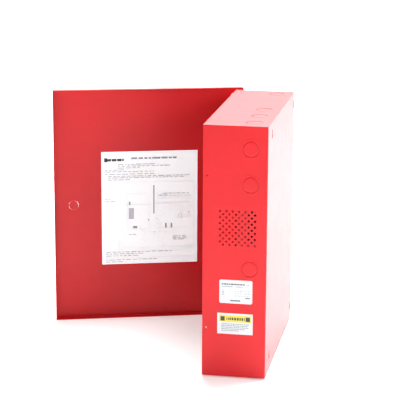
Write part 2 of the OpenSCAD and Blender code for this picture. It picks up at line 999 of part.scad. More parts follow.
module ground_stud() color(steel)
    translate([stud_at[0], inner_y, stud_at[1]])
        rotate([90, 0, 0])
            cylinder(h = stud_l, r = stud_r, $fn = round_fn);

// Two nuts with the wire's ring between them
module ground_nuts() color(steel)
    translate([stud_at[0], inner_y, stud_at[1]])
        rotate([90, 0, 0])
            for (low = [6, 10.3])
                translate([0, 0, low])
                    difference() {
                        cylinder(h = 3, r = 3.8, $fn = 6);
                        translate([0, 0, -1])
                            cylinder(h = 5, r = stud_hole_r, $fn = round_fn);
                    }

module ground_wire() color([0.15, 0.55, 0.22]) {
    translate([stud_at[0], inner_y - 9.1, stud_at[1]])
        rotate([90, 0, 0])
            difference() {
                union() {
                    cylinder(h = 1, r = 4.2, $fn = round_fn);
                    translate([-2, 0, 0])
                        cube([4, 9, 1]);
                }
                translate([0, 0, -1])
                    cylinder(h = 3, r = stud_hole_r, $fn = round_fn);
            }
    wire(ground_route, lead_r);
}

// ---------- batteries ----------

module battery() color([0.16, 0.17, 0.19]) {
    lid = 12;
    groove = 0.8;
    block(batt_w, batt_d, batt_h - lid - groove);
    translate([0, 0, batt_h - lid - groove])
        block(batt_w - 1.6, batt_d - 1.6, groove);
    translate([0, 0, batt_h - lid])
        block(batt_w, batt_d, lid);
}

module battery_left()
    translate([-batt_x, batt_y, batt_floor])
        battery();

module battery_right()
    translate([batt_x, batt_y, batt_floor])
        battery();

module battery_tabs() color(steel)
    for (x = tab_xs)
        translate([x, tab_y, batt_top])
            block(tab_size[0], tab_size[1], tab_size[2]);

// Insulating sleeve over each tab
module battery_sleeves() color([0.7, 0.1, 0.1])
    for (x = tab_xs)
        translate([x, tab_y, batt_top + sleeve_up])
            difference() {
                block(sleeve_size[0], sleeve_size[1], sleeve_size[2]);
                translate([0, 0, -1])
                    block(sleeve_slot[0], sleeve_slot[1], tab_size[2] + 1);
            }

module battery_lead_red() color([0.8, 0.1, 0.1])
    wire(red_route, lead_r);

module battery_lead_black() color(black)
    wire(black_route, lead_r);

module battery_jumper() color([0.15, 0.25, 0.7])
    wire(jumper_route, lead_r);

cabinet_wrap();
cabinet_top();
cabinet_bottom();
cabinet_knockouts();
rating_label();
caution_label();
cabinet_hinge_leaves();
cabinet_hinge_rivets();
hinge_pins();
door_panel();
lock_knockout();
wiring_label();
door_hinge_leaves();
door_hinge_rivets();
control_board();
control_posts();
control_screws();
supply_board();
supply_posts();
supply_screws();
output_terminals();
input_terminals();
terminal_screws();
relays();
output_fuses();
controller_chip();
small_chips();
status_lamps();
control_capacitors();
board_sockets();
dip_switch_body();
dip_slider(0);  // dip_slider_1
dip_slider(1);  // dip_slider_2
dip_slider(2);  // dip_slider_3
dip_slider(3);  // dip_slider_4
dip_slider(4);  // dip_slider_5
dip_slider(5);  // dip_slider_6
dip_slider(6);  // dip_slider_7
dip_slider(7);  // dip_slider_8
transformer_core();
transformer_coil();
heat_sink();
power_devices();
supply_capacitors();
mains_terminals();
mains_fuse();
fuse_caps();
fuse_clips();
choke();
board_harness();
ground_stud();
ground_nuts();
ground_wire();
battery_left();
battery_right();
battery_tabs();
battery_sleeves();
battery_lead_red();
battery_lead_black();
battery_jumper();
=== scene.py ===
# %% [markdown]
# # A fire alarm panel, opened on its hinge
# This lesson dresses a folded steel cabinet: an open door, two circuit boards, a transformer
# and two batteries. The metalwork comes from a measured frame that never moves, so each new
# piece reads its place from the frame. Each step says what a piece is on the real object,
# how it could be made and why this way was chosen, and then makes it.

# %% Load the measured frame
import json
import math

import bmesh
import bpy
import numpy as np
from mathutils import Matrix, Vector


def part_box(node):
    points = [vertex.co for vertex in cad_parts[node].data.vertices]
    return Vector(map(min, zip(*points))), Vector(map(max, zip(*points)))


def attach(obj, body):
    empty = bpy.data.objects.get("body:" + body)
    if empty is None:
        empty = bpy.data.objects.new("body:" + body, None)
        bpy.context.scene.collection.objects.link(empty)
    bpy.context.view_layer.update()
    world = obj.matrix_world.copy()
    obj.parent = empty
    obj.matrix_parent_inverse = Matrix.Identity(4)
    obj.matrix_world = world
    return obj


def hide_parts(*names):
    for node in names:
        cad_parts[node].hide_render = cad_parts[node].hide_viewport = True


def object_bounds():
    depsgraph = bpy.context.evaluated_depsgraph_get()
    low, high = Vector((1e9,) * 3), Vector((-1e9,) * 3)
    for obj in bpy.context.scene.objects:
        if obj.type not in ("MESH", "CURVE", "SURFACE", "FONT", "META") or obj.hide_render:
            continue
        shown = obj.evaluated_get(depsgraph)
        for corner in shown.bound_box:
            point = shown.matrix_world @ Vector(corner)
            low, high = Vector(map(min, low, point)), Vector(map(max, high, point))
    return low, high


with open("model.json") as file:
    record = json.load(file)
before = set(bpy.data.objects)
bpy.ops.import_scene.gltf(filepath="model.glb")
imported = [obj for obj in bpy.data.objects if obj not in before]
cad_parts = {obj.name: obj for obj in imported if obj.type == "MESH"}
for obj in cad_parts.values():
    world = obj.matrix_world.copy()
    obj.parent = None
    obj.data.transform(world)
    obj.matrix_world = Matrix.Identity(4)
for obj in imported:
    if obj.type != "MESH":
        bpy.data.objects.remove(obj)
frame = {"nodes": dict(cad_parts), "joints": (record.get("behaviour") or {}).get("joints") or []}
cad_low, cad_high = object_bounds()
nodes = frame["nodes"]
scene = bpy.context.scene
MM = 0.001
print("measured box in mm:", [round(v / MM) for v in cad_high - cad_low])

# %% [markdown]
# ## Camera
# A long lens looks at the cabinet's right wall and, past it, at the inside of the door. From
# nearly three metres the folded edges stay almost parallel, as in a catalogue picture. The
# direction is kept as an azimuth, an elevation and a slight roll, the way it would be noted
# beside a tripod, and the rotation is worked out from those.

# %% Camera
CAMERA_PLACE = Vector((2.8752, 0.3619, 0.7518))
CAMERA_AZIMUTH = 99.84
CAMERA_ELEVATION = 13.81
CAMERA_ROLL = 0.37
CAMERA_LENS = 139.0
SENSOR = 36.0


def aimed(azimuth, elevation, roll):
    """Rotation with -Z towards the object: back points from the object to the camera, right is
    level and square to back, up is square to both, and the roll turns right towards up."""
    a, e, r = (math.radians(angle) for angle in (azimuth, elevation, roll))
    back = Vector((math.sin(a) * math.cos(e), -math.cos(a) * math.cos(e), math.sin(e)))
    right = Vector((0, 0, 1)).cross(back).normalized()
    up = back.cross(right)
    turned_right = right * math.cos(r) + up * math.sin(r)
    turned_up = up * math.cos(r) - right * math.sin(r)
    return Matrix((turned_right, turned_up, back)).transposed()


camera_data = bpy.data.cameras.new("panel_camera")
camera_data.lens = CAMERA_LENS
camera_data.sensor_width = SENSOR
camera = bpy.data.objects.new("panel_camera", camera_data)
turn = aimed(CAMERA_AZIMUTH, CAMERA_ELEVATION, CAMERA_ROLL)
camera.matrix_world = Matrix.Translation(CAMERA_PLACE) @ turn.to_4x4()
scene.collection.objects.link(camera)
scene.camera = camera
print("lens", CAMERA_LENS, "mm, from", round(CAMERA_PLACE.length, 2), "m away")

# %% [markdown]
# ## Nets of points
# Every new shape here is a net: rows and columns of points worked out by a formula, with
# four-sided faces between neighbours. The columns wrap round, and a row that shrinks to one
# point closes an end. Modelling by hand would give the same faces, but a formula keeps a
# radius or a pitch as a number that can be changed.

# %% Nets
def net(points):
    """Faces between neighbouring rows of a (rows, columns, 3) net whose columns wrap round."""
    rows, columns = points.shape[:2]
    corner = np.arange(rows * columns).reshape(rows, columns)
    beside = np.roll(corner, -1, axis=1)
    quads = np.stack((corner[:-1], beside[:-1], beside[1:], corner[1:]), axis=-1)
    return points.reshape(-1, 3), quads.reshape(-1, 4)


def joined(shells):
    """One (points, faces) pair: each shell's corner numbers rise by the points before it."""
    shells = list(shells)
    starts = np.cumsum([0] + [len(points) for points, _ in shells[:-1]])
    faces = np.concatenate([quads + start for (_, quads), start in zip(shells, starts)])
    return np.concatenate([points for points, _ in shells]), faces


def copies(shell, places):
    """The same shell at many places: every point plus every place, as one array."""
    points, quads = shell
    places = np.asarray(places, float)
    moved = points[None] + places[:, None]
    faces = quads[None] + (np.arange(len(places)) * len(points))[:, None, None]
    return moved.reshape(-1, 3), faces.reshape(-1, 4)


def corner_turns(steps):
    """Angles round a rounded rectangle, a quarter turn at each corner, and each corner's signs."""
    quarter = np.linspace(0, math.pi / 2, steps + 1)
    angle = np.concatenate([quarter + math.pi / 2 * k for k in range(4)])
    return angle, np.repeat([1.0, -1.0, -1.0, 1.0], steps + 1), np.repeat([1.0, 1.0, -1.0, -1.0], steps + 1)


print("nets ready")

# %% [markdown]
# ## Blocks, turned shapes and swept shapes
# Almost everything on a circuit board is one of three shapes: a moulded block with soft
# edges, a shape turned on an axis such as a capacitor, or a profile carried along a path such
# as a wire. A cube with a bevel would do for the first, but a rounded block worked out from
# the directions of a sphere has even corners at any proportion.

# %% Blocks, turned shapes and swept shapes
def rounded_block(low, high, radius, steps=2):
    """Each direction d of a sphere gives a point: the nearest corner, moved in by the radius
    along each axis, plus radius times d. Two more rows close the flat ends at their middles."""
    low, high = np.asarray(low, float), np.asarray(high, float)
    middle = (low + high) / 2
    reach = (high - low) / 2 - radius
    around, side_x, side_y = corner_turns(steps)
    quarter = around[:steps + 1]
    rise = np.concatenate((quarter - math.pi / 2, quarter))
    side_z = np.repeat([-1.0, 1.0], steps + 1)
    x = side_x * reach[0] + radius * np.outer(np.cos(rise), np.cos(around))
    y = side_y * reach[1] + radius * np.outer(np.cos(rise), np.sin(around))
    z = (side_z * reach[2] + radius * np.sin(rise))[:, None] + 0 * x
    points = middle + np.stack((x, y, z), axis=-1)
    pole = np.zeros_like(points[:1]) + (0, 0, reach[2] + radius)
    return net(np.concatenate((middle - pole, points, middle + pole)))


def square_to(axis):
    """Two unit directions square to an axis and to each other."""
    axis = np.asarray(axis, float)
    helper = np.eye(3)[np.argmin(np.abs(axis))]
    first = np.cross(axis, helper)
    first /= np.linalg.norm(first)
    return first, np.cross(axis, first)


def turned(profile, centre, axis, sides=32):
    """Profile of (radius, height) pairs turned about an axis: the centre, plus height along
    the axis, plus radius times (cos t, sin t) in the plane square to it."""
    first, second = square_to(axis)
    angle = np.arange(sides) * 2 * math.pi / sides
    rim = np.cos(angle)[:, None] * first + np.sin(angle)[:, None] * second
    profile = np.asarray(profile, float)
    spine = np.asarray(centre, float) + profile[:, 1:] * np.asarray(axis, float)
    return net(spine[:, None] + profile[:, 0, None, None] * rim[None])


def swept(path, profile, up, closed=False):
    """Profile of (side, lift) pairs carried along a path. The side direction is square to the
    path and to up, the lift direction is square to both, and at a sharp bend the side grows
    by one over the cosine of half the turn, which makes a mitre."""
    path = np.asarray(path, float)
    ahead = np.roll(path, -1, axis=0) - path
    behind = path - np.roll(path, 1, axis=0)
    if not closed:
        ahead[-1] = behind[-1]
        behind[0] = ahead[0]
    ahead /= np.linalg.norm(ahead, axis=1)[:, None]
    behind /= np.linalg.norm(behind, axis=1)[:, None]
    tangent = ahead + behind
    tangent /= np.linalg.norm(tangent, axis=1)[:, None]
    side = np.cross(tangent, up)
    side /= np.linalg.norm(side, axis=1)[:, None]
    lift = np.cross(side, tangent)
    mitre = 1 / np.maximum(0.5, np.sum(tangent * ahead, axis=1))
    profile = np.asarray(profile, float)
    rows = (path[:, None] + profile[None, :, :1] * (side * mitre[:, None])[:, None]
            + profile[None, :, 1:] * lift[:, None])
    if closed:
        return net(np.concatenate((rows, rows[:1])))
    ends = [np.repeat(path[end][None, None], len(profile), axis=1) for end in (0, -1)]
    return net(np.concatenate((ends[0], rows, ends[1])))


def circle(radius, sides=12):
    """Round wire's profile."""
    angle = np.arange(sides) * 2 * math.pi / sides
    return radius * np.stack((np.cos(angle), np.sin(angle)), axis=1)


def strip(width, top, foot=0.0):
    """Flat strip's profile, from foot to top above its path."""
    return np.array([(-width / 2, foot), (width / 2, foot), (width / 2, top), (-width / 2, top)])


def eased(points, steps=8):
    """Smooth path through given points: between two of them a cubic leaves and arrives
    along half the step between their neighbours."""
    points = np.asarray(points, float)
    padded = np.concatenate((2 * points[:1] - points[1:2], points, 2 * points[-1:] - points[-2:-1]))
    before, start, end, after = padded[:-3], padded[1:-2], padded[2:-1], padded[3:]
    t = (np.arange(steps) / steps)[None, :, None]
    start, end = start[:, None], end[:, None]
    leave = (end - before[:, None]) / 2
    arrive = (after[:, None] - start) / 2
    curve = ((2 * t**3 - 3 * t**2 + 1) * start + (t**3 - 2 * t**2 + t) * leave
             + (3 * t**2 - 2 * t**3) * end + (t**3 - t**2) * arrive)
    return np.concatenate((curve.reshape(-1, 3), points[-1:]))


print("blocks, turned and swept shapes ready")

# %% [markdown]
# ## From a net to a piece
# A piece is a mesh object that rides on a body of the frame. Points that meet are merged,
# which closes poles and seams, and the faces are then turned outwards. Edges sharper than a
# given angle stay crisp while the rest is shaded smooth. A finish of our own, such as an ink,
# is written down under the frame's finish that it comes nearest to.

# %% Pieces
SAME_POINT = 0.0002 * MM
CRISP_ANGLE = math.radians(35)
finishes = {}


def piece(name, shells, finish, body="cabinet", stands_for=(), smooth=True):
    """Mesh object from shells, with a finish by name, riding on a body."""
    points, quads = joined(shells)
    mesh = bpy.data.meshes.new(name)
    mesh.from_pydata(points.tolist(), [], quads.tolist())
    builder = bmesh.new()
    builder.from_mesh(mesh)
    bmesh.ops.remove_doubles(builder, verts=builder.verts, dist=SAME_POINT)
    bmesh.ops.recalc_face_normals(builder, faces=builder.faces)
    builder.to_mesh(mesh)
    builder.free()
    if smooth:
        mesh.shade_smooth()
        mesh.set_sharp_from_angle(angle=CRISP_ANGLE)
    made_object = bpy.data.objects.new(name, mesh)
    scene.collection.objects.link(made_object)
    mesh.materials.append(finishes[finish])
    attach(made_object, body)
    if stands_for:
        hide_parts(*stands_for)
    print(name, len(mesh.polygons), "faces")


def points_of(node):
    """A frame part's points as an array."""
    mesh = nodes[node].data
    places = np.empty(len(mesh.vertices) * 3)
    mesh.vertices.foreach_get("co", places)
    return places.reshape(-1, 3)


def box_of(node):
    """Lowest and highest corner of a frame part as arrays."""
    return tuple(np.array(corner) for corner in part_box(node))


def solids(node):
    """Boxes (low, high) of a node's separate solids: corners that share a place share a
    number, and each triangle hands its lowest number round until nothing changes."""
    mesh = nodes[node].data
    places = points_of(node)
    _, shared = np.unique(np.round(places / (0.001 * MM)), axis=0, return_inverse=True)
    corners = np.empty(len(mesh.loops), dtype=np.int32)
    mesh.loops.foreach_get("vertex_index", corners)
    triangles = shared.reshape(-1)[corners].reshape(-1, 3)
    label = np.arange(triangles.max() + 1)
    while True:
        lower = label.copy()
        np.minimum.at(lower, triangles, label[triangles].min(axis=1)[:, None])
        lower = lower[lower]
        if (lower == label).all():
            break
        label = lower
    owner = label[shared.reshape(-1)]
    groups = [places[owner == value] for value in np.unique(owner)]
    boxes = [(group.min(axis=0), group.max(axis=0)) for group in groups]
    return sorted(boxes, key=lambda box: (-round(box[1][2], 3), round(box[0][0], 3)))


# %% [markdown]
# ## Finishes
# A finish is a small node tree on the principled shader. Textures read Object coordinates,
# which are metres on the real object, so a noise scale of 1000 gives grains a millimetre
# across on every piece alike. Colour, roughness and relief each get their own texture,
# because a real surface varies in all three.

# %% Finish helpers
NOISE_LOW, NOISE_HIGH = 0.3, 0.7
MOTTLE = 40
GLOSS_SWING = 0.06
WAVE_TURN = 20


def finish(name, color, roughness=0.5, metallic=0.0, **sockets):
    """Principled material; further sockets are named as on the shader, with _ for a space."""
    material = bpy.data.materials.new(name + "_finish")
    material.use_nodes = True
    shader = material.node_tree.nodes["Principled BSDF"]
    shader.inputs["Base Color"].default_value = (*color, 1)
    shader.inputs["Roughness"].default_value = roughness
    shader.inputs["Metallic"].default_value = metallic
    for socket, value in sockets.items():
        shader.inputs[socket.replace("_", " ")].default_value = value
    material.diffuse_color = (*color, 1)
    finishes[name] = material
    return material


def link(material, source, target):
    """Wire from one socket to another."""
    material.node_tree.links.new(source, target)


def shader_of(material):
    """The material's principled shader."""
    return material.node_tree.nodes["Principled BSDF"]


def add(material, kind, **settings):
    """New node, with its properties set."""
    node = material.node_tree.nodes.new("ShaderNode" + kind)
    for key, value in settings.items():
        setattr(node, key, value)
    return node


def place(material, stretch=(1, 1, 1)):
    """Object coordinates in metres, each axis multiplied by stretch."""
    coordinates = add(material, "TexCoord").outputs["Object"]
    if tuple(stretch) == (1, 1, 1):
        return coordinates
    mapping = add(material, "Mapping")
    mapping.inputs["Scale"].default_value = stretch
    link(material, coordinates, mapping.inputs["Vector"])
    return mapping.outputs["Vector"]


def grain(material, scale, detail=2.0, rough=0.5):
    """Noise with features about 1/scale metres across."""
    node = add(material, "TexNoise")
    node.inputs["Scale"].default_value = scale
    node.inputs["Detail"].default_value = detail
    node.inputs["Roughness"].default_value = rough
    link(material, place(material), node.inputs["Vector"])
    return node.outputs["Fac"]


def cells(material, scale, stretch=(1, 1, 1), **settings):
    """Random grey in each of many cells about 1/scale metres across."""
    node = add(material, "TexVoronoi", **settings)
    node.inputs["Scale"].default_value = scale
    link(material, place(material, stretch), node.inputs["Vector"])
    tone = add(material, "RGBToBW")
    link(material, node.outputs["Color"], tone.inputs["Color"])
    return tone.outputs["Val"]


def waves(material, direction, pitch):
    """Soft stripes at a pitch. At scale 1 the wave texture turns through 20 radians a metre,
    and one stripe takes a full turn."""
    node = add(material, "TexWave", bands_direction=direction)
    node.inputs["Scale"].default_value = 2 * math.pi / pitch / WAVE_TURN
    link(material, place(material), node.inputs["Vector"])
    return node.outputs["Fac"]


def mapped(tree, source, start, end, low, high):
    """Node that carries the range from start to end onto the range from low to high."""
    node = tree.nodes.new("ShaderNodeMapRange")
    for socket, value in zip(("From Min", "From Max", "To Min", "To Max"), (start, end, low, high)):
        node.inputs[socket].default_value = value
    tree.links.new(source, node.inputs["Value"])
    return node


def ranged(material, source, low, high):
    """Maps the range where noise mostly lies onto low to high."""
    return mapped(material.node_tree, source, NOISE_LOW, NOISE_HIGH, low, high).outputs["Result"]


def blend_colors(material, source, dark, light):
    """Base colour between two colours, chosen by a texture."""
    ramp = add(material, "ValToRGB")
    stops = zip(ramp.color_ramp.elements, (dark, light), (NOISE_LOW, NOISE_HIGH))
    for stop, color, position in stops:
        stop.color = (*color, 1)
        stop.position = position
    link(material, source, ramp.inputs["Fac"])
    link(material, ramp.outputs["Color"], shader_of(material).inputs["Base Color"])


def relief(material, source, depth):
    """Bump of that many metres. A later call adds to the earlier ones."""
    node = add(material, "Bump")
    node.inputs["Distance"].default_value = depth
    link(material, source, node.inputs["Height"])
    socket = shader_of(material).inputs["Normal"]
    if socket.is_linked:
        link(material, socket.links[0].from_socket, node.inputs["Normal"])
    link(material, node.outputs["Normal"], socket)


def soft_edges(material, radius):
    """Edges that catch the light as if rounded to that radius, for flat folded parts."""
    node = add(material, "Bevel", samples=6)
    node.inputs["Radius"].default_value = radius
    link(material, node.outputs["Normal"], shader_of(material).inputs["Normal"])


def swing(color, amount):
    """A colour made darker or lighter by a fraction."""
    return [min(1.0, c * (1 + amount)) for c in color]


def moulded(name, color, roughness, grains=900, depth=0.01 * MM, vary=0.06, metallic=0.0, **sockets):
    """Even finish with slow mottling in colour and fine grain in roughness and relief."""
    material = finish(name, color, roughness, metallic, **sockets)
    blend_colors(material, grain(material, grains / MOTTLE, 3), swing(color, -vary), swing(color, vary))
    fine = grain(material, grains, 3)
    link(material, ranged(material, fine, roughness - GLOSS_SWING, roughness + GLOSS_SWING),
         shader_of(material).inputs["Roughness"])
    relief(material, fine, depth)
    return material


print("finish helpers ready")

# %% [markdown]
# ## Red powder coat
# Fire panels are sprayed with polyester powder and baked. The film is semi-gloss, flows into
# a fine orange peel and gathers softly over the folds. Its base is a strong red; seen at a
# low angle it turns pale, because a smooth film mirrors its bright surroundings there, which
# the shader works out by itself from the index of refraction.

# %% Red powder coat
RED = (0.60, 0.007, 0.011)
COAT_GLOSS = 0.38
GLOSS_DRIFT = 0.01
CLOUDS, GLOSS_PATCHES, ORANGE_PEEL, SPRAY = 11, 24, 420, 2600
coat = finish("red_powder_coat", RED, COAT_GLOSS, IOR=1.4)
soft_edges(coat, 0.7 * MM)
blend_colors(coat, grain(coat, CLOUDS, 4), swing(RED, -0.05), swing(RED, 0.05))
link(coat, ranged(coat, grain(coat, GLOSS_PATCHES), COAT_GLOSS - GLOSS_DRIFT, COAT_GLOSS + GLOSS_DRIFT),
     shader_of(coat).inputs["Roughness"])
relief(coat, grain(coat, ORANGE_PEEL, 1.5, 0.4), 0.005 * MM)
relief(coat, grain(coat, SPRAY), 0.0015 * MM)
print("red powder coat ready")

# %% [markdown]
# ## Paper, printing and metals
# The labels are satin film: nearly white, with the faintest cloudiness. Prints are inks laid
# on as thin shapes, so that they stay crisp at any distance. The sheet in the door is given a
# painted glow of its own, so that it stays bright and neutral in shade beside so much red.
# The labels on the outer wall stand in full light and get a darker grey copy of the film, a
# painted shade against that light. Zinc plate is a soft grey with crystals about two
# millimetres across, tin plate is warmer and finer, and the black heat sinks are anodised.

# %% Paper, printing and metals
FILM = dict(roughness=0.42, grains=1800, depth=0.004 * MM, vary=0.012)
# Painted glow: the label paper gives off a little light of its own, so it stays bright in shade.
PAINTED_GLOW = dict(Emission_Color=(0.86, 0.96, 1.0, 1), Emission_Strength=0.3)
moulded("label_paper", (0.86, 0.87, 0.88), **FILM, **PAINTED_GLOW)
# Darker grey copy of the label film: painted shade for the labels that stand in full light.
moulded("painted_shade_film", (0.60, 0.62, 0.64), **FILM)
INKS = {
    "ink_black": ((0.035, 0.035, 0.04), "label_paper"),
    "ink_grey": ((0.34, 0.35, 0.40), "label_paper"),
    "ink_pale": ((0.60, 0.61, 0.66), "label_paper"),
    "ink_silver": ((0.22, 0.23, 0.26), "label_paper"),
    "ink_yellow": ((0.66, 0.56, 0.05), "label_paper"),
    "board_legend": ((0.82, 0.84, 0.80), "board_green"),
    "board_copper": ((0.028, 0.20, 0.075), "board_green"),
    "battery_ink": ((0.75, 0.76, 0.78), "battery_case"),
    "battery_panel": ((0.13, 0.14, 0.16), "battery_case"),
    "capacitor_mark": ((0.55, 0.58, 0.66), "capacitor_sleeve"),
    "resistor_body": ((0.56, 0.42, 0.26), "relay_plastic"),
    "surface_mount": ((0.05, 0.05, 0.06), "chip_plastic"),
    "surface_ceramic": ((0.45, 0.33, 0.22), "fuse_yellow"),
    "battery_black_sleeve": ((0.03, 0.03, 0.032), "wire_black"),
    "winding_label": ((0.80, 0.79, 0.74), "socket_plastic"),
    "winding_ink": ((0.16, 0.17, 0.20), "socket_plastic"),
}
for ink, (ink_color, ink_slot) in INKS.items():
    moulded(ink, ink_color, roughness=0.45, grains=1500, depth=0.003 * MM, vary=0.05)


def plated(name, color, roughness, crystals):
    """Plated metal: crystal cells vary its shade, and fine scratches its gloss and relief."""
    metal = finish(name, color, roughness, 1.0)
    blend_colors(metal, cells(metal, crystals), swing(color, -0.05), swing(color, 0.04))
    scratch = grain(metal, 900, 3, 0.6)
    link(metal, ranged(metal, scratch, roughness - 0.08, roughness + 0.1),
         shader_of(metal).inputs["Roughness"])
    relief(metal, scratch, 0.006 * MM)


plated("plated_steel", (0.70, 0.70, 0.67), roughness=0.3, crystals=500)
plated("terminal_steel", (0.74, 0.72, 0.68), roughness=0.26, crystals=900)
plated("can_metal", (0.70, 0.71, 0.73), roughness=0.36, crystals=2500)
moulded("heat_sink_aluminium", (0.022, 0.022, 0.025), 0.42, 1400, 0.006 * MM, vary=0.1, metallic=0.35)
print("paper,", len(INKS), "inks and four metals ready")

# %% [markdown]
# ## Circuit board
# A board is woven glass cloth in resin under a coat of green solder mask. The weave shows as
# a faint cross grain a little over half a millimetre apart, and wide copper areas under the
# mask look a little lighter. Cells cut into blocks stand for those copper areas.

# %% Circuit board
WEAVE_PITCH = 0.6 * MM
POUR_CELLS = 38
FLAT = (1, 0.001, 1)
MASK_GREEN = (0.012, 0.135, 0.05)
board = finish("board_green", MASK_GREEN, 0.24, IOR=1.5)
pours = cells(board, POUR_CELLS, FLAT, distance="CHEBYCHEV")
blend_colors(board, pours, MASK_GREEN, (0.02, 0.175, 0.066))
for direction in ("X", "Z"):
    relief(board, waves(board, direction, WEAVE_PITCH), 0.006 * MM)
print("board ready, weave", WEAVE_PITCH / MM, "mm")

# %% [markdown]
# ## Plastics, windings and glass
# Moulded parts differ mainly in colour and gloss. The transformer's core is a stack of
# varnished iron sheets, so its finish has stripes one sheet apart. The fuse is clear
# glass, and the lamps are tinted clear plastic that lets some light into the body.

# %% Plastics, windings and glass
LAMINATION = 0.65 * MM
WIRE = (0.27, 300, 0.01 * MM, 0.04)
PLASTICS = {
    "terminal_plastic": ((0.03, 0.23, 0.10), 0.42),
    "relay_plastic": ((0.03, 0.07, 0.27), 0.38),
    "fuse_yellow": ((0.80, 0.48, 0.04), 0.28),
    "chip_plastic": ((0.022, 0.022, 0.025), 0.5, 1600, 0.008 * MM),
    "capacitor_sleeve": ((0.015, 0.02, 0.075), 0.22, 600, 0.004 * MM),
    "switch_red": ((0.52, 0.02, 0.02), 0.36),
    "switch_white": ((0.88, 0.88, 0.86), 0.35),
    "battery_case": ((0.038, 0.04, 0.047), 0.46, 700, 0.02 * MM),
    "sleeve_red": ((0.58, 0.02, 0.02), 0.3, 500, 0.01 * MM),
    "wire_red": ((0.58, 0.012, 0.012), *WIRE),
    "wire_black": ((0.016, 0.016, 0.018), *WIRE),
    "wire_blue": ((0.02, 0.07, 0.42), *WIRE),
    "wire_yellow": ((0.78, 0.60, 0.03), *WIRE),
    "wire_green": ((0.03, 0.36, 0.06), *WIRE),
    "coil_tape": ((0.80, 0.50, 0.03), 0.2, 260, 0.02 * MM),
    "choke_copper": ((0.50, 0.17, 0.045), 0.24, 400, 0.01 * MM, 0.12, 0.5),
}
for plastic, settings in PLASTICS.items():
    moulded(plastic, *settings)
moulded("lamp_green", (0.05, 0.50, 0.08), 0.14, Subsurface_Weight=0.35, Subsurface_Scale=0.002)
moulded("socket_plastic", (0.84, 0.81, 0.72), 0.4, Subsurface_Weight=0.15, Subsurface_Scale=0.001)
moulded("fuse_glass", (0.93, 0.95, 0.95), 0.1, 500, 0.002 * MM, 0.02, Transmission_Weight=0.9, IOR=1.5)
core = moulded("core_steel", (0.17, 0.17, 0.18), 0.42, 1200, 0.01 * MM, 0.15, 0.8)
relief(core, waves(core, "Y", LAMINATION), 0.06 * MM)
print(len(finishes), "finishes in all")

# %% [markdown]
# Each part of the frame brings the name of its finish as its only material, so one loop can
# put the finished one in its place. Only the two labels on the outer wall take the darker film, painted shade
# against their full light.

# %% Finish the frame's own parts
for node_name, node in nodes.items():
    wanted = node.data.materials[0].name.split(".")[0]
    if node_name in ("rating_label", "caution_label"):
        # The wall labels take the darker copy of the film, a painted shade.
        wanted = "painted_shade_film"
    node.material_slots[0].material = finishes[wanted]
print(len(nodes), "parts of the frame finished")

# %% [markdown]
# ## Knock-outs
# A knock-out is a disc sheared almost free and pressed back, so that it can be punched out for
# a cable pipe. Shearing bends both edges a little: the disc is left slightly domed, and the
# wall keeps a soft lip round the slot, which the coat bridges. The frame has the flat disc and
# its ties; a turned dome and a turned lip are laid on them, because a flat slot alone hardly
# catches the light. The lip's profile is in millimetres, and the dome's is in shares of the
# disc's radius, so that it fits any disc.

# %% Knock-outs
LIP = np.array([(13.8, -0.75), (13.8, -0.5), (14.3, -0.42), (14.7, -0.08), (15.3, 0.12), (16.0, 0.2),
                (16.7, 0.18), (18.6, -0.02), (18.6, -0.75), (13.8, -0.75)]) * MM
DOME = np.array([(0.96, 0.12), (0.9, 0.28), (0.84, 0.39), (0.77, 0.45), (0.68, 0.46), (0, 0.46)])
SHEAR_SINK = 0.4 * MM
RIM_SIDES = 64
DISC_GAP = 0.05 * MM
TIE_REACH = 1.3 * MM
TIE_DEPTH = 0.45 * MM
TIE_DROP = 0.5 * MM
TIE_LIFT = 0.3 * MM
TIE_SOFT = 0.4 * MM
domes, lips, ties = [], [], []
for low, high in solids("cabinet_knockouts"):
    size = high - low
    thin = int(np.argmin(size))
    outward = np.sign((low + high)[thin]) * np.eye(3)[thin]
    radius = np.delete(size, thin).min() / 2 - DISC_GAP
    face = (low + high) / 2 + outward * size[thin] / 2
    edge = [(0, -0.3 * MM), (radius - 0.3 * MM, -0.3 * MM), (radius, -0.1 * MM)]
    domes.append(turned([*edge, *DOME * (radius, MM)], face, outward, RIM_SIDES))
    lips.append(turned(LIP, face + outward * SHEAR_SINK, outward, RIM_SIDES))
    below = np.array((0, 0, -1.0)) if thin == 0 else np.array((0, -1.0, 0))
    tie = face + below * (radius + TIE_DROP) + outward * TIE_LIFT
    reach = np.full(3, TIE_REACH)
    reach[thin] = TIE_DEPTH
    ties.append(rounded_block(tie - reach, tie + reach, TIE_SOFT, 3))
piece("knockout_domes", domes, "red_powder_coat")
piece("knockout_lips", lips, "red_powder_coat")
piece("knockout_ties", ties, "red_powder_coat")

# %% [markdown]
# ## Printing on a label
# A label's print is a set of thin bars, each a closed sliver standing a few hundredths of a
# millimetre proud. Words are left out: a line of writing is a row of bars of random word
# length, as a designer blocks in text before it is written. An image would need a file and
# would blur close by, and bars stay sharp and export as real shape.

# %% Printing helpers
INK_RISE = 0.03 * MM
INK_ROOT = 0.05 * MM
MOST_WORDS = 60
draw = np.random.default_rng(18)


def printed(bars, top_left, across, down):
    """Thin boxes for bars (u0, v0, u1, v1), in fractions of a label from its top left: the
    corner, plus u across, plus v down, at a level just inside and a level just outside."""
    bars = np.asarray(bars, float)
    across, down = np.asarray(across, float), np.asarray(down, float)
    out = np.cross(down, across)
    out /= np.linalg.norm(out)
    u = bars[:, [0, 2, 2, 0, 0, 2, 2, 0]]
    v = bars[:, [1, 1, 3, 3, 1, 1, 3, 3]]
    level = np.repeat([-INK_ROOT, INK_RISE], 4)
    points = np.asarray(top_left) + u[..., None] * across + v[..., None] * down + level[:, None] * out
    around = [(k, (k + 1) % 4, (k + 1) % 4 + 4, k + 4) for k in range(4)]
    sides = np.array([(0, 3, 2, 1), (4, 5, 6, 7), *around])
    faces = sides[None] + (np.arange(len(bars)) * 8)[:, None, None]
    return points.reshape(-1, 3), faces.reshape(-1, 4)


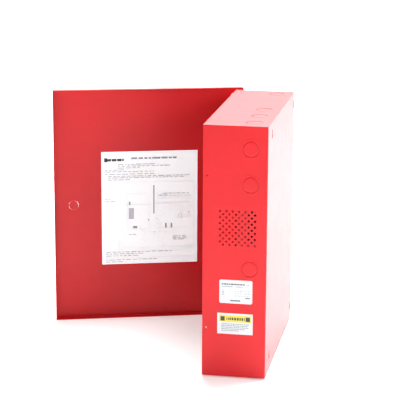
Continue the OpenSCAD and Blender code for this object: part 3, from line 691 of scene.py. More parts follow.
def words(u_start, u_end, v, height, longest=0.07, gap=0.012):
    """Bars for one line of writing: word lengths drawn at random, with even gaps."""
    lengths = draw.uniform(longest / 4, longest, MOST_WORDS)
    starts = u_start + np.cumsum(np.concatenate(([0], lengths[:-1] + gap)))
    keep = starts + lengths < u_end
    starts, ends = starts[keep], (starts + lengths)[keep]
    return np.stack((starts, np.full_like(starts, v), ends, np.full_like(ends, v + height)), axis=1)


def box_lines(u0, v0, u1, v1, wide):
    """Four bars for a rectangle's outline."""
    return [(u0, v0, u1, v0 + wide), (u0, v1 - wide, u1, v1),
            (u0, v0 + wide, u0 + wide, v1 - wide), (u1 - wide, v0 + wide, u1, v1 - wide)]


def right_face(low, high):
    """A box's right face, seen from outside: top left corner, width and height vectors."""
    return np.array((high[0], low[1], high[2])), (high - low) * (0, 1, 0), (low - high) * (0, 0, 1)


def front_face(low, high):
    """A box's front face, as above."""
    return np.array((low[0], low[1], high[2])), (high - low) * (1, 0, 0), (low - high) * (0, 0, 1)


def over_ink(face):
    """The same face, one layer of ink further out."""
    top_left, across, down = face
    out = np.cross(down, across)
    return top_left + out / np.linalg.norm(out) * INK_RISE, across, down


def print_on(face, name, rows, ink):
    """Piece of every bar in the rows, printed on a face."""
    piece(name, [printed(np.concatenate(rows), *face)], ink)


print("bars, words and outlines ready")

# %% [markdown]
# ## The two wall labels
# The upper one is a rating plate: a bold heading, two short columns and a mark at its foot.
# The lower one is a notice with a yellow heading band. Its words and its sign are left out;
# plain dark squares and bars keep the layout.

# %% Rating and notice labels
rating = right_face(*box_of("rating_label"))
rating_bold = [words(0.07, 0.80, 0.155, 0.05, 0.10, 0.015), words(0.34, 0.66, 0.85, 0.055, 0.06, 0.008),
               words(0.79, 0.94, 0.735, 0.04, 0.05, 0.008)]
rating_fine = [words(0.84, 0.94, 0.17, 0.03), words(0.08, 0.40, 0.27, 0.028),
               words(0.50, 0.74, 0.27, 0.028)]
rating_fine += [words(0.09, 0.20, v, 0.028, 0.09) for v in (0.42, 0.49, 0.55, 0.61)]
rating_fine += [words(0.48, 0.94, v, 0.02, 0.05, 0.05) for v in (0.46, 0.56, 0.66)]
print_on(rating, "rating_print_bold", rating_bold, "ink_black")
print_on(rating, "rating_print_fine", rating_fine, "ink_silver")

notice = right_face(*box_of("caution_label"))
band = [(0.05, 0.09, 0.95, 0.42)]
band_marks = [(0.09, 0.16, 0.21, 0.37), (0.80, 0.16, 0.92, 0.37)]
band_words = words(0.26, 0.78, 0.20, 0.13, 0.075, 0.02)
notice_lines = [words(0.12, end, v, 0.035, 0.09) for v, end in
                ((0.50, 0.90), (0.58, 0.86), (0.66, 0.91), (0.74, 0.84), (0.82, 0.60))]
print_on(notice, "notice_band", [band], "ink_yellow")
print_on(over_ink(notice), "notice_marks", [band_marks, band_words], "ink_black")
print_on(notice, "notice_lines", notice_lines, "ink_silver")

# %% [markdown]
# ## The wiring sheet in the door
# Inside the door a sheet nearly as large as letter paper shows how the boards are wired. It was
# measured on the closed door and swings with it, so its print is laid out on the closed door
# and turned about the hinge pin by the angle that the door now stands open.

# %% Turning with the door
hinge = next(joint for joint in frame["joints"] if joint["name"] == "door_hinge")
PIN = np.array(hinge["pos_m"])
DOOR_ANGLE = math.radians(hinge["range_deg"][0])


def about_pin(points, angle):
    """Points turned about the hinge pin's upright axis by an angle in radians."""
    cos, sin = math.cos(angle), math.sin(angle)
    turn = np.array(((cos, -sin, 0), (sin, cos, 0), (0, 0, 1)))
    return (points - PIN) @ turn.T + PIN


def shut_box(node):
    """Box of a door part as it lies when the door is shut."""
    shut = about_pin(points_of(node), -DOOR_ANGLE)
    return shut.min(axis=0), shut.max(axis=0)


sheet_low, sheet_high = shut_box("wiring_label")
sheet_size = sheet_high - sheet_low
SHEET = (sheet_high, sheet_size * (-1, 0, 0), sheet_size * (0, 0, -1))
print("sheet", [round(v / MM) for v in sheet_size], "mm, door open",
      round(-math.degrees(DOOR_ANGLE)), "degrees")

# %% Print the wiring sheet
HAIR = 0.0028
FINE = 0.009


def on_sheet(name, bars, ink):
    """Bars printed on the sheet, turned with the door."""
    points, faces = printed(np.concatenate([np.asarray(b, float).reshape(-1, 4) for b in bars]), *SHEET)
    piece(name, [(about_pin(points, DOOR_ANGLE), faces)], ink, "door")


heading = [words(0.035, 0.25, 0.062, 0.022, 0.05, 0.006), [(0.03, 0.055, 0.062, 0.09)]]
title = [words(0.31, 0.82, 0.053, 0.016, 0.09, 0.012)]
text_rows = ((0.17, 0.57, 0.108), (0.17, 0.76, 0.124), (0.17, 0.42, 0.140), (0.035, 0.26, 0.156),
             (0.035, 0.56, 0.172), (0.035, 0.58, 0.194), (0.065, 0.95, 0.212), (0.065, 0.90, 0.226),
             (0.065, 0.33, 0.244), (0.04, 0.74, 0.888), (0.04, 0.46, 0.905), (0.04, 0.42, 0.922),
             (0.04, 0.60, 0.958), (0.04, 0.22, 0.976), (0.74, 0.92, 0.758), (0.74, 0.90, 0.772),
             (0.74, 0.88, 0.786), (0.035, 0.11, 0.412), (0.035, 0.14, 0.436), (0.28, 0.38, 0.735),
             (0.64, 0.93, 0.372), (0.60, 0.74, 0.386), (0.56, 0.62, 0.318))
lines = [words(start, end, v, FINE) for start, end, v in text_rows]
outlines = [box_lines(0.18, 0.27, 0.965, 0.86, HAIR), box_lines(0.265, 0.37, 0.50, 0.69, HAIR),
            box_lines(0.577, 0.394, 0.936, 0.685, HAIR), box_lines(0.545, 0.60, 0.60, 0.76, HAIR),
            [(0.035, 0.945, 0.965, 0.9475), (0.42, 0.715, 0.80, 0.7175), (0.25, 0.470, 0.58, 0.4725)]]
box_rows = ((0.628, 0.882, 5, 0.488, 0.548, 0.032), (0.771, 0.891, 5, 0.563, 0.597, 0.030),
            (0.590, 0.895, 9, 0.400, 0.424, 0.030), (0.590, 0.895, 9, 0.452, 0.470, 0.030))
small_boxes = [box_lines(u, top, u + wide, foot, HAIR) for first, last, count, top, foot, wide in box_rows
               for u in np.linspace(first, last, count)]
pale_block = [(0.28, 0.500, 0.335, 0.600)]
shaded = [[(0.538, 0.300, 0.551, 0.555), (0.283, 0.443, 0.300, 0.475),
           (0.660, 0.642, 0.678, 0.685), (0.720, 0.642, 0.738, 0.685), (0.325, 0.662, 0.370, 0.682),
           (0.905, 0.543, 0.918, 0.556), (0.480, 0.603, 0.495, 0.615)]]
small_mark = [box_lines(0.880, 0.840, 0.905, 0.885, HAIR), box_lines(0.912, 0.840, 0.937, 0.885, HAIR)]
on_sheet("wiring_print_heading", heading, "ink_black")
on_sheet("wiring_print_title", title, "ink_grey")
on_sheet("wiring_print_lines", lines, "ink_pale")
plan = [*outlines, *small_boxes, *small_mark, pale_block]
on_sheet("wiring_print_plan", plan, "ink_pale")
on_sheet("wiring_print_shaded", shaded, "ink_grey")

# %% [markdown]
# ## Copper under the green
# A board's copper tracks run in parallel groups, straight along the board with short runs at
# 45 degrees, and end in small tinned holes. Each track is a flat strip swept along its path.
# Groups are drawn at random from a seeded generator, and those that would leave the board
# or cross copper that is already there are dropped.

# %% Board geometry
OUT = np.array((0.0, -1.0, 0.0))
ACROSS = np.array((1.0, 0.0, 0.0))
UP = np.array((0.0, 0.0, 1.0))
TRACK_PITCH = 1.3 * MM
TRACK_WIDTH = 0.55 * MM
COPPER = 0.05 * MM
BARE_EDGE = 3 * MM
RUNS = (8, 34)
JOGS = (3, 12)
LANES = (3, 9)
VIA = np.array([(0, -0.05), (0.46, -0.05), (0.46, 0.05), (0.34, 0.09), (0.24, 0.02), (0, 0.02)]) * MM


def tracks(node, groups, seed):
    """Swept strips and their tinned ends: a run, a 45 degree jog and a second run, repeated
    beside itself at an even pitch."""
    low, high = box_of(node)
    inner_low, inner_high = low[[0, 2]] + BARE_EDGE, high[[0, 2]] - BARE_EDGE
    random = np.random.default_rng(seed)
    strips, ends, used = [], [], []
    for _ in range(groups):
        start = random.uniform(inner_low, inner_high)
        run = random.uniform(*RUNS, 2) * MM * random.choice([-1, 1])
        jog = random.uniform(*JOGS) * MM * random.choice([-1, 1])
        upright = random.random() < 0.5
        along, aside = ((0, 1), (1, 0)) if upright else ((1, 0), (0, 1))
        along, aside = np.array(along, float), np.array(aside, float)
        corners = np.cumsum([start, run[0] * along, abs(jog) * np.sign(run[0]) * along + jog * aside,
                             run[1] * along], axis=0)
        lanes = random.integers(*LANES)
        spread = corners[None] + (np.arange(lanes) * TRACK_PITCH)[:, None, None] * aside
        reach = spread.reshape(-1, 2)
        box = np.concatenate((reach.min(axis=0), reach.max(axis=0)))
        taken = np.reshape(used, (-1, 4))
        crossed = ((box[:2] - TRACK_PITCH < taken[:, 2:])
                   & (box[2:] + TRACK_PITCH > taken[:, :2])).all(axis=1)
        if crossed.any() or (reach < inner_low).any() or (reach > inner_high).any():
            continue
        used.append(box)
        for flat in spread:
            path = np.stack((flat[:, 0], np.full(4, low[1]), flat[:, 1]), axis=1)
            strips.append(swept(path, strip(TRACK_WIDTH, COPPER), OUT))
            ends.extend((path[0], path[-1]))
    return strips, np.array(ends)


for board_name, groups, seed in (("control_board", 900, 5), ("supply_board", 400, 11)):
    strips, ends = tracks(board_name, groups, seed)
    piece(board_name + "_tracks", strips, "board_copper", smooth=False)
    via = turned(VIA, (0, 0, 0), OUT, 8)
    piece(board_name + "_vias", [copies(via, ends)], "terminal_steel")

# %% [markdown]
# ## White outlines on the boards
# A printed outline marks where each component sits. It is read straight from the parts: the
# box of every separate solid gives a frame a little larger than its foot. Prints count
# downwards, so the heights change their sign first.

# %% Component outlines
BOARD_PARTS = {
    "control_board": ("output_terminals", "input_terminals", "relays", "output_fuses", "controller_chip",
                      "small_chips", "control_capacitors", "board_sockets", "dip_switch_body", "status_lamps",
                      "control_screws"),
    "supply_board": ("transformer_core", "heat_sink", "power_devices", "supply_capacitors", "mains_terminals",
                     "fuse_clips", "choke", "board_sockets", "supply_screws"),
}
part_boxes = {name: solids(name) for parts in BOARD_PARTS.values() for name in parts}
LEGEND_GAP = np.array((-1, -1, 1, 1)) * MM
LEGEND_LINE = 0.35 * MM


def feet(board_name):
    """Left, bottom, right and top of everything that stands on a board."""
    low, high = box_of(board_name)
    boxes = [box for part in BOARD_PARTS[board_name] for box in part_boxes[part]]
    rows = np.array([(a[0], a[2], b[0], b[2]) for a, b in boxes])
    middle = (rows[:, 0] + rows[:, 2]) / 2
    return rows[(middle > low[0]) & (middle < high[0])]


for board_name in BOARD_PARTS:
    low, high = box_of(board_name)
    counted_down = feet(board_name) * (1, -1, 1, -1)
    outlines = counted_down[:, [0, 3, 2, 1]] + LEGEND_GAP
    frames = [bar for outline in outlines for bar in box_lines(*outline, LEGEND_LINE)]
    lines = printed(frames, (0, low[1], 0), ACROSS, -UP)
    piece(board_name + "_legend", [lines], "board_legend", smooth=False)

# %% [markdown]
# ## Legs
# Chips stand on bent tin-plated legs. One leg is a narrow strip swept out, down and out
# again, and the rest are copies along each side of each chip.

# %% Chip legs
LEG_PATH = np.array([(-0.2, 1.5), (0.5, 1.5), (0.8, 0.15), (1.4, 0.15)]) * MM
LEG_SHEET = 0.16 * MM
WIDE_PITCH = 1.27 * MM
FINE_PITCH = 1.0 * MM


def leg_row(low, high, outward, pitch):
    """Legs along the side of a chip that faces outward."""
    outward = np.array(outward, float)
    beside = np.abs(np.cross(outward, OUT))
    middle = (low + high) / 2
    edge = np.array((middle[0], high[1], middle[2])) + outward * (high - low) / 2 * np.abs(outward)
    path = LEG_PATH[:, :1] * outward + LEG_PATH[:, 1:] * OUT
    leg = swept(path, strip(0.4 * pitch, LEG_SHEET), OUT)
    span = float(np.dot(high - low, beside)) - pitch
    count = int(span / pitch) + 1
    shifts = (np.arange(count) - (count - 1) / 2) * pitch
    return copies(leg, edge + shifts[:, None] * beside)


legs = []
for low, high in part_boxes["small_chips"]:
    legs += [leg_row(low, high, (0, 0, side), WIDE_PITCH) for side in (-1, 1)]
for low, high in part_boxes["controller_chip"]:
    for outward in ((1, 0, 0), (-1, 0, 0), (0, 0, 1), (0, 0, -1)):
        legs.append(leg_row(low, high, outward, FINE_PITCH))
piece("chip_legs", legs, "terminal_steel", smooth=False)

# %% [markdown]
# ## Small surface parts
# Between the large components sit dozens of chip resistors and ceramic capacitors, each
# about 3 mm long with tinned ends. They go where a grid of spots is clear of everything
# else. Each has only a few dozen faces, because there are so many.

# %% Small surface parts
SPOT_ROOM = 3.2 * MM
SPOT_EDGE = 6 * MM
SPOT_STEP = 0.5 * MM
BODY_HALF = np.array((1.1, 0.35, 0.75)) * MM
TIN_HALF = np.array((0.3, 0.4, 0.8)) * MM
BODY_RISE = 0.4 * MM
BODY_SOFT = 0.1 * MM
TIN_REACH = 1.25 * MM
TIN_SOFT = 0.12 * MM


def free_spots(board_name, step, share, seed):
    """Grid places on a board, moved a little at random, with room to every foot; a share of
    them."""
    low, high = box_of(board_name)
    random = np.random.default_rng(seed)
    xs, zs = (np.arange(low[k] + SPOT_EDGE, high[k] - SPOT_EDGE, step) for k in (0, 2))
    spots = np.stack(np.meshgrid(xs, zs), axis=-1).reshape(-1, 2)
    spots = spots + np.round(random.uniform(-1.5, 1.5, spots.shape)) * SPOT_STEP
    grown = feet(board_name) - np.array((1, 1, -1, -1)) * SPOT_ROOM
    meets = ((spots[:, None, 0] > grown[:, 0]) & (spots[:, None, 0] < grown[:, 2])
             & (spots[:, None, 1] > grown[:, 1]) & (spots[:, None, 1] < grown[:, 3])).any(axis=1)
    clear = spots[~meets]
    chosen = random.random(len(clear)) < share
    return clear[chosen]


def small_parts(board_name, spots, seed):
    """Bodies and tinned ends of chip parts at spots, half of them turned a quarter."""
    face = box_of(board_name)[0][1]
    random = np.random.default_rng(seed)
    bodies, ends = [], []
    for x, z in spots:
        order, along = (([2, 1, 0], UP) if random.random() < 0.5 else ([0, 1, 2], ACROSS))
        half, tin = BODY_HALF[order], TIN_HALF[order]
        centre = np.array((x, face, z)) + OUT * BODY_RISE
        bodies.append(rounded_block(centre - half, centre + half, BODY_SOFT, 1))
        for tip in (centre - along * TIN_REACH, centre + along * TIN_REACH):
            ends.append(rounded_block(tip - tin, tip + tin, TIN_SOFT, 1))
    return bodies, ends


control_spots = free_spots("control_board", step=7 * MM, share=0.62, seed=3)
supply_spots = free_spots("supply_board", step=8 * MM, share=0.4, seed=7)
dark, dark_ends = small_parts("control_board", control_spots[::2], 21)
tan, tan_ends = small_parts("control_board", control_spots[1::2], 22)
plain, plain_ends = small_parts("supply_board", supply_spots, 23)
piece("chip_resistors", dark + plain, "surface_mount")
piece("chip_capacitors", tan, "surface_ceramic")
piece("chip_part_ends", dark_ends + tan_ends + plain_ends, "terminal_steel")

# %% [markdown]
# ## Electrolytic capacitors
# A can is an aluminium cup in a shrunk plastic sleeve. Near its foot the cup is rolled in
# over a rubber bung, and its top shows bare metal with a pressed cross that lets it vent. A
# turned profile gives the roll and the rim, and a pale stripe marks one side.

# %% Electrolytic capacitors
def can_shells(low, high):
    """Sleeve, bare top, vent cross and side stripe for a can in that box."""
    radius = (high[0] - low[0]) / 2
    height = high[1] - low[1]
    foot = np.array(((low[0] + high[0]) / 2, high[1], (low[2] + high[2]) / 2))
    roll = 0.05 * radius + 0.2 * MM
    rim = 0.16 * radius
    sleeve = [(0, 0), (radius - 0.3 * MM, 0), (radius, 0.4 * MM), (radius, 2.2 * MM),
              (radius - roll, 3.0 * MM), (radius - roll, 3.4 * MM), (radius, 4.2 * MM),
              (radius, height - 0.9 * MM), (radius - 0.25 * MM, height - 0.3 * MM),
              (radius - rim, height), (radius - rim, height - 0.35 * MM), (0, height - 0.35 * MM)]
    bare = radius - rim - 0.05 * MM
    top = [(0, height - 0.5 * MM), (bare, height - 0.5 * MM), (bare, height - 0.12 * MM),
           (0.9 * bare, height - 0.22 * MM), (0, height - 0.2 * MM)]
    crown = foot + OUT * (height - 0.22 * MM)
    arms = [swept([crown - 0.62 * bare * way, crown + 0.62 * bare * way], strip(0.09 * radius, rise), OUT)
            for way, rise in ((ACROSS, 0.10 * MM), (UP, 0.12 * MM))]
    angle = np.linspace(-0.3, 0.3, 9)
    radial = np.cos(angle)[:, None] * UP + np.sin(angle)[:, None] * ACROSS
    waist = foot + OUT * (height + 3 * MM) / 2 + radial * (radius - 0.02 * MM)
    stripe = swept(waist, strip(height - 6.5 * MM, 0.06 * MM), radial)
    return turned(sleeve, foot, OUT, 40), turned(top, foot, OUT, 40), arms, stripe


for node_name in ("control_capacitors", "supply_capacitors"):
    sleeves, tops, arms, stripes = zip(*(can_shells(low, high) for low, high in part_boxes[node_name]))
    piece(node_name + "_sleeves", sleeves, "capacitor_sleeve", stands_for=[node_name])
    piece(node_name + "_tops", tops, "can_metal")
    piece(node_name + "_vents", sum(arms, []), "terminal_steel")
    piece(node_name + "_stripes", stripes, "capacitor_mark")

# %% [markdown]
# ## Stacked outlines
# Relays, battery cases and cable sleeves are moulded in steps: a foot, a groove, a lid. Each
# is a rounded rectangle carried upwards, and every level says how high it is, how far it is
# drawn in and how round its corners are, so that one closed net holds all the steps.

# %% Stacked outlines
TOP = -1e-9


def stacked(low, high, levels, axis=2, steps=4):
    """Rounded rectangle at each level (height, inset, radius): the corner's inner centre plus
    the radius times the direction round it. The axis says which way is up, and a negative
    height counts down from the top of the box, so TOP is the top itself."""
    low, high = np.asarray(low, float), np.asarray(high, float)
    flat = [k for k in range(3) if k != axis]
    half = ((high - low) / 2)[flat]
    middle = (low + high) / 2
    angle, side_a, side_b = corner_turns(steps)
    levels = np.asarray(levels, float)
    height, inset, radius = (levels[:, k:k + 1] for k in range(3))
    rise = np.where(height < 0, high[axis] - low[axis] + height, height)
    rows = np.empty((len(levels), len(angle), 3))
    rows[..., flat[0]] = middle[flat[0]] + side_a * (half[0] - inset - radius) + radius * np.cos(angle)
    rows[..., flat[1]] = middle[flat[1]] + side_b * (half[1] - inset - radius) + radius * np.sin(angle)
    rows[..., axis] = low[axis] + rise
    ends = rows[[0, -1]].copy()
    ends[..., flat[0]] = middle[flat[0]]
    ends[..., flat[1]] = middle[flat[1]]
    return net(np.concatenate((ends[:1], rows, ends[1:])))


print("stacked outlines ready")

# %% [markdown]
# ## Relays
# Five sealed relays switch the output circuits. Each is a blue moulded case with a slightly
# smaller potted foot, softened edges and a raised vent pip in one corner.

# %% Relays
RELAY_LEVELS = np.array([(-14.8, 1.2, 0.9), (-14.4, 0.5, 0.9), (-13.4, 0.2, 0.8), (-1.0, 0.1, 0.7),
                         (-0.9, 0.5, 0.3), (-0.01, 0.5, 0.3)]) * MM
PIP = np.array([(0, 0), (0.9, 0), (0.8, 0.7), (0, 0.8)]) * MM
PIP_INSET = 4 * MM
PIP_SINK = 0.9 * MM
relay_shells = []
for low, high in part_boxes["relays"]:
    relay_shells.append(stacked(low, high, RELAY_LEVELS, axis=1))
    pip_foot = (high[0] - PIP_INSET, low[1] + PIP_SINK, high[2] - PIP_INSET)
    relay_shells.append(turned(PIP, pip_foot, OUT, 16))
piece("relay_cases", relay_shells, "relay_plastic", stands_for=["relays"])

# %% [markdown]
# ## Transformer winding
# The core in the frame is a stack of iron sheets with the winding through its windows. On
# the winding that stands proud of the core lie a nylon flange and two turns of yellow tape,
# which are strips swept round a rounded rectangle. A panel with bars for its ratings lies on
# the front, and four bolts with washers clamp the corners of the core.

# %% Transformer winding
def band_round(low, high, corner, level, profile, steps=6):
    """Profile swept round a rounded rectangle at one distance from the wall, with its lift
    pointing away from the rectangle's middle."""
    angle, side_x, side_z = corner_turns(steps)
    middle, half = (low + high) / 2, (high - low) / 2 - corner
    x = middle[0] + side_x * half[0] + corner * np.cos(angle)
    z = middle[2] + side_z * half[2] + corner * np.sin(angle)
    path = np.stack((x, np.full_like(x, level), z), axis=1)
    return swept(path, profile, path - (middle[0], level, middle[2]), closed=True)


FLANGE = strip(1.0 * MM, 1.2 * MM, -0.4 * MM)
TAPE = strip(2.6 * MM, 0.25 * MM, -0.1 * MM)
PANEL_MARGIN = np.array((5, 0, 7)) * MM
coil_low, coil_high = box_of("transformer_coil")
core_low, core_high = box_of("transformer_core")
flange = band_round(coil_low, coil_high, 0.6 * MM, core_low[1] - 1.0 * MM, FLANGE)
piece("winding_flange", [flange], "socket_plastic")
tape_bands = [band_round(coil_low - grow, coil_high + grow, 0.8 * MM, core_low[1] - ahead, TAPE)
              for ahead, grow in ((3.6 * MM, 0.0), (5.6 * MM, 0.15 * MM))]
piece("winding_tape", tape_bands, "coil_tape")
panel_face = front_face(coil_low + PANEL_MARGIN, coil_high - PANEL_MARGIN[0])
print_on(panel_face, "winding_panel", [[(0, 0, 1, 1)]], "winding_label")
panel_rows = [words(0.08, end, v, 0.07, 0.22, 0.04)
              for v, end in ((0.12, 0.8), (0.32, 0.92), (0.52, 0.92), (0.72, 0.7))]
print_on(over_ink(panel_face), "winding_print", panel_rows, "winding_ink")
BOLT_INSET = 5.5 * MM
BOLT = np.array([(0, -1), (2.9, -1), (2.9, 1.4), (2.4, 1.9), (0, 1.9)]) * MM
WASHER = np.array([(0, -0.5), (4.2, -0.5), (4.2, 0.5), (3.9, 0.7), (0, 0.7)]) * MM
bolt_feet = [(x, core_low[1], z) for x in (core_low[0] + BOLT_INSET, core_high[0] - BOLT_INSET)
             for z in (core_low[2] + BOLT_INSET, core_high[2] - BOLT_INSET)]
piece("core_bolts", [copies(turned(BOLT, (0, 0, 0), OUT, 6), bolt_feet),
                     copies(turned(WASHER, (0, 0, 0), OUT, 24), bolt_feet)], "plated_steel")

# %% [markdown]
# ## Choke
# The mains choke is a ferrite ring wound with enamelled copper. One turn of the wire is a
# circle round the ring's own round section, and while the wire makes its turns the whole
# circle travels round the ring, which makes a helix bent into a ring.

# %% Choke
CHOKE_TURNS = 34
STEPS_A_TURN = 20
CHOKE_WIRE = 0.55 * MM
choke_low, choke_high = box_of("choke")
choke_middle = (choke_low + choke_high) / 2
section = (choke_high[1] - choke_low[1]) / 2
ring_radius = (choke_high[0] - choke_low[0]) / 2 - section
core_radius = section - 2 * CHOKE_WIRE
section_angle = np.linspace(0, 2 * math.pi, 25)
core_profile = [(ring_radius + core_radius * math.cos(a), core_radius * math.sin(a)) for a in section_angle]
piece("choke_core", [turned(core_profile, choke_middle, OUT, 48)], "core_steel", stands_for=["choke"])
travel = np.linspace(0, 2 * math.pi, CHOKE_TURNS * STEPS_A_TURN, endpoint=False)
radial = np.cos(travel)[:, None] * ACROSS + np.sin(travel)[:, None] * UP
wind = travel * CHOKE_TURNS
turn_radius = core_radius + CHOKE_WIRE
helix = (choke_middle + radial * (ring_radius + turn_radius * np.cos(wind))[:, None]
         + OUT * (turn_radius * np.sin(wind))[:, None])
winding = swept(helix, circle(CHOKE_WIRE, 8), np.cross(radial, OUT), closed=True)
piece("choke_winding", [winding], "choke_copper")

# %% [markdown]
# ## Wires
# The frame's wires are plain eight-sided tubes along given routes. The same routes are
# repeated here and eased into smooth curves, and a round profile is swept along each. A
# crimped ring with a barrel holds the green wire on its stud.

# %% Wires
LEAD = 1.4 * MM
HARNESS_WIRE = 0.8 * MM
RED_ROUTE = [(-145, -53, -116.2), (-145, -53, -104), (-144, -51, -84), (-140, -47, -62), (-132, -42, -40),
             (-122, -38, -20), (-108, -34, -4), (-94, -32, 7), (-85, -31, 17), (-85, -31, 27.5)]
BLACK_ROUTE = [(145, -53, -116.2), (145, -53, -104), (140, -51, -86), (120, -48, -66), (86, -46, -52),
               (40, -44, -42), (-8, -41, -32), (-50, -37, -16), (-79, -31, 12), (-79, -31, 27.5)]
JUMPER_ROUTE = [(-12, -53, -116.2), (-12, -53, -108), (-8, -53.5, -99), (0, -54, -95), (8, -53.5, -99),
                (12, -53, -108), (12, -53, -116.2)]
GROUND_ROUTE = [(-172, -11.1, -21.5), (-172, -11.6, -14), (-169, -14, -7), (-161, -18, -1), (-150, -21, 4),
                (-146, -21, 10), (-146, -21, 20)]


def wire(route, radius, up, sides=12):
    """Round wire along a route given in mm."""
    return swept(eased(np.array(route) * MM), circle(radius, sides), up)


piece("red_lead", [wire(RED_ROUTE, LEAD, OUT)], "wire_red", stands_for=["battery_lead_red"])
piece("black_lead", [wire(BLACK_ROUTE, LEAD, OUT)], "wire_black", stands_for=["battery_lead_black"])
piece("jumper_lead", [wire(JUMPER_ROUTE, LEAD, OUT)], "wire_blue", stands_for=["battery_jumper"])
stud = sum(box_of("ground_stud")) / 2
lug_foot = np.array((stud[0], box_of("ground_wire")[1][1], stud[2]))
lug_ring = turned(np.array([(2.15, 0), (4.2, 0), (4.2, 1), (2.15, 1), (2.15, 0)]) * MM, lug_foot, OUT, 32)
barrel_path = lug_foot + np.array([(0, -0.6, 3.4), (0, -0.7, 5.0), (0, -1.0, 6.6), (0, -1.1, 10.5)]) * MM
barrel = swept(barrel_path, strip(4 * MM, 0.5 * MM, -0.5 * MM), OUT)
piece("ground_lug", [lug_ring, barrel], "terminal_steel")
piece("ground_lead", [wire(GROUND_ROUTE, LEAD, OUT)], "wire_green", stands_for=["ground_wire"])

HARNESS_ROWS = 4
HARNESS_PITCH = 2.5
HARNESS_Z = 107.0
HARNESS_SHAPE = [(-56, -25.8), (-56, -30.8), (-52, -35.8), (-33.5, -37.8), (-15, -35.8), (-11, -30.8),
                 (-11, -25.8)]
rows = [HARNESS_Z + (row - (HARNESS_ROWS - 1) / 2) * HARNESS_PITCH for row in range(HARNESS_ROWS)]
loops = [wire([(x, y, z) for x, y in HARNESS_SHAPE], HARNESS_WIRE, UP, 10) for z in rows]
piece("harness_wires", loops, "wire_yellow", stands_for=["board_harness"])

# %% [markdown]
# ## Batteries
# Two sealed lead-acid blocks stand in the foot of the cabinet. A case is a stacked outline:
# slightly drawn-in foot, straight walls, the groove where the lid is welded on, and a lid
# with a softened rim. A vent strip lies on the lid, and a plain printed panel on the front.

# %% Batteries
CELLS = 6
BATTERY_LEVELS = np.array([(0, 1.2, 2), (1.2, 0.1, 3), (-12.8, 0.1, 3), (-12.72, 0.8, 2.6),
                           (-12.08, 0.8, 2.6), (-12, 0.1, 3), (-1.6, 0.2, 3), (-0.5, 0.7, 2.8),
                           (TOP, 2, 2.4)]) * MM
STRIP_LEVELS = np.array([(0, 0, 1.5), (0.9, 0, 1.5), (1.3, 0.5, 1.5)]) * MM
STRIP_LOW = np.array((28, 22, -0.2)) * MM
STRIP_HIGH = np.array((-28, -8, 1.1)) * MM
CAP = np.array([(0, -0.2), (4.2, -0.2), (4.2, 0.5), (3.6, 0.8), (0, 0.8)]) * MM
PANEL_SINK = np.array((0, 0.08, 0)) * MM
PANEL_LEFT = 0.20
PANEL_ROWS = ((0.62, 0.36, 0.07, 0.16), (0.50, 0.48, 0.05, 0.10), (0.80, 0.58, 0.022, 0.06),
              (0.76, 0.63, 0.022, 0.06), (0.80, 0.68, 0.022, 0.06), (0.55, 0.75, 0.022, 0.06))
for side in ("left", "right"):
    node_name = "battery_" + side
    low, high = box_of(node_name)
    strip_low = np.array((low[0], low[1], high[2])) + STRIP_LOW
    strip_high = high + STRIP_HIGH
    middles = (np.arange(CELLS) + 0.5) / CELLS * (strip_high[0] - strip_low[0])
    spots = [(strip_low[0] + x, (strip_low[1] + strip_high[1]) / 2, strip_high[2]) for x in middles]
    caps = copies(turned(CAP, (0, 0, 0), UP, 24), spots)
    piece(node_name + "_case", [stacked(low, high, BATTERY_LEVELS)], "battery_case", stands_for=[node_name])
    piece(node_name + "_vents", [stacked(strip_low, strip_high, STRIP_LEVELS), caps], "battery_case")
    panel_face = front_face(low + PANEL_SINK, high)
    print_on(panel_face, node_name + "_panel", [[(0.14, 0.30, 0.86, 0.84)]], "battery_panel")
    marks = [words(PANEL_LEFT, *row) for row in PANEL_ROWS]
    print_on(over_ink(panel_face), node_name + "_print", marks, "battery_ink")

# %% [markdown]
# Each tab has a soft vinyl sleeve that narrows towards its wire. Red marks the positive
# tabs and black the negative ones.

# %% Tab sleeves
SLEEVE_LEVELS = np.array([(0, 0.4, 0.8), (0.7, 0.05, 1), (8.6, 0.05, 1.2), (9.4, 0.5, 1.2), (13.2, 1, 1.4),
                          (TOP, 1.3, 1.1)]) * MM
sleeve_boxes = sorted(solids("battery_sleeves"), key=lambda box: box[0][0])
sleeves = [stacked(low, high, SLEEVE_LEVELS) for low, high in sleeve_boxes]
piece("tab_sleeves_red", sleeves[0::2], "sleeve_red", stands_for=["battery_sleeves"])
piece("tab_sleeves_black", sleeves[1::2], "battery_black_sleeve")

# %% [markdown]
# ## Studio
# The panel stands in a bright white sweep. A low-angle view of a semi-gloss film mirrors the
# surroundings, so the side behind the cabinet is the brightest and the camera's side the
# dimmest. The floor is plain and pale and lit a little from beneath, like a light table, and
# large soft lights leave hardly any shadow.

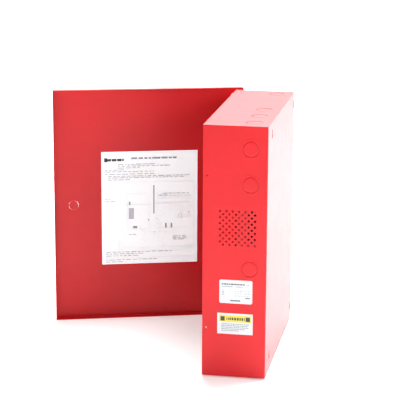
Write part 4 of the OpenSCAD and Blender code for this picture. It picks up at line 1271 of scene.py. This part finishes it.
# %% Studio
BEHIND_GLOW = 2.45
FRONT_GLOW = 0.3
FADE_END = -0.4
world = bpy.data.worlds.new("studio_sweep")
scene.world = world
world.use_nodes = True
world_nodes = world.node_tree.nodes
world_links = world.node_tree.links
background = world_nodes["Background"]
background.inputs["Color"].default_value = (1, 1, 1, 1)
sky_way = world_nodes.new("ShaderNodeTexCoord")
split = world_nodes.new("ShaderNodeSeparateXYZ")
world_links.new(sky_way.outputs["Generated"], split.inputs["Vector"])
glow = mapped(world.node_tree, split.outputs["X"], -1.0, FADE_END, BEHIND_GLOW, FRONT_GLOW)
glow.interpolation_type = "SMOOTHSTEP"
world_links.new(glow.outputs["Result"], background.inputs["Strength"])

FLOOR_REACH = 9.0
floor_mesh = bpy.data.meshes.new("floor")
floor_level = cad_low.z - 0.5 * MM
corner_signs = ((-1, -1), (1, -1), (1, 1), (-1, 1))
floor_corners = [(sx * FLOOR_REACH, sy * FLOOR_REACH, floor_level) for sx, sy in corner_signs]
floor_mesh.from_pydata(floor_corners, [], [(0, 1, 2, 3)])
floor = bpy.data.objects.new("floor", floor_mesh)
moulded("floor_pale", (0.9, 0.9, 0.9), 0.7, 40, 0.01 * MM, 0.004,
        Emission_Color=(1, 1, 1, 1), Emission_Strength=0.3)
floor_mesh.materials.append(finishes["floor_pale"])
scene.collection.objects.link(floor)


def softbox(name, spot, aim, size, watts):
    """Rectangular area light at a spot, facing aim."""
    data = bpy.data.lights.new(name, "AREA")
    data.shape = "RECTANGLE"
    data.size, data.size_y = size
    data.energy = watts
    light = bpy.data.objects.new(name, data)
    light.location = spot
    light.rotation_euler = (Vector(aim) - Vector(spot)).to_track_quat("-Z", "Y").to_euler()
    scene.collection.objects.link(light)


softbox("behind", (-1.9, 0.6, 3.0), (-1.5, 0.3, 0), (3.0, 3.0), 540)
softbox("key", (0.75, -2.1, 1.0), (0.18, -0.05, -0.05), (0.8, 0.8), 13)
softbox("door_light", (1.8, 1.8, 1.1), (0, -0.2, 0), (1.0, 1.0), 30)
scene.view_settings.view_transform = "Standard"
print("studio lit, floor at", round(floor_level, 4), "m")
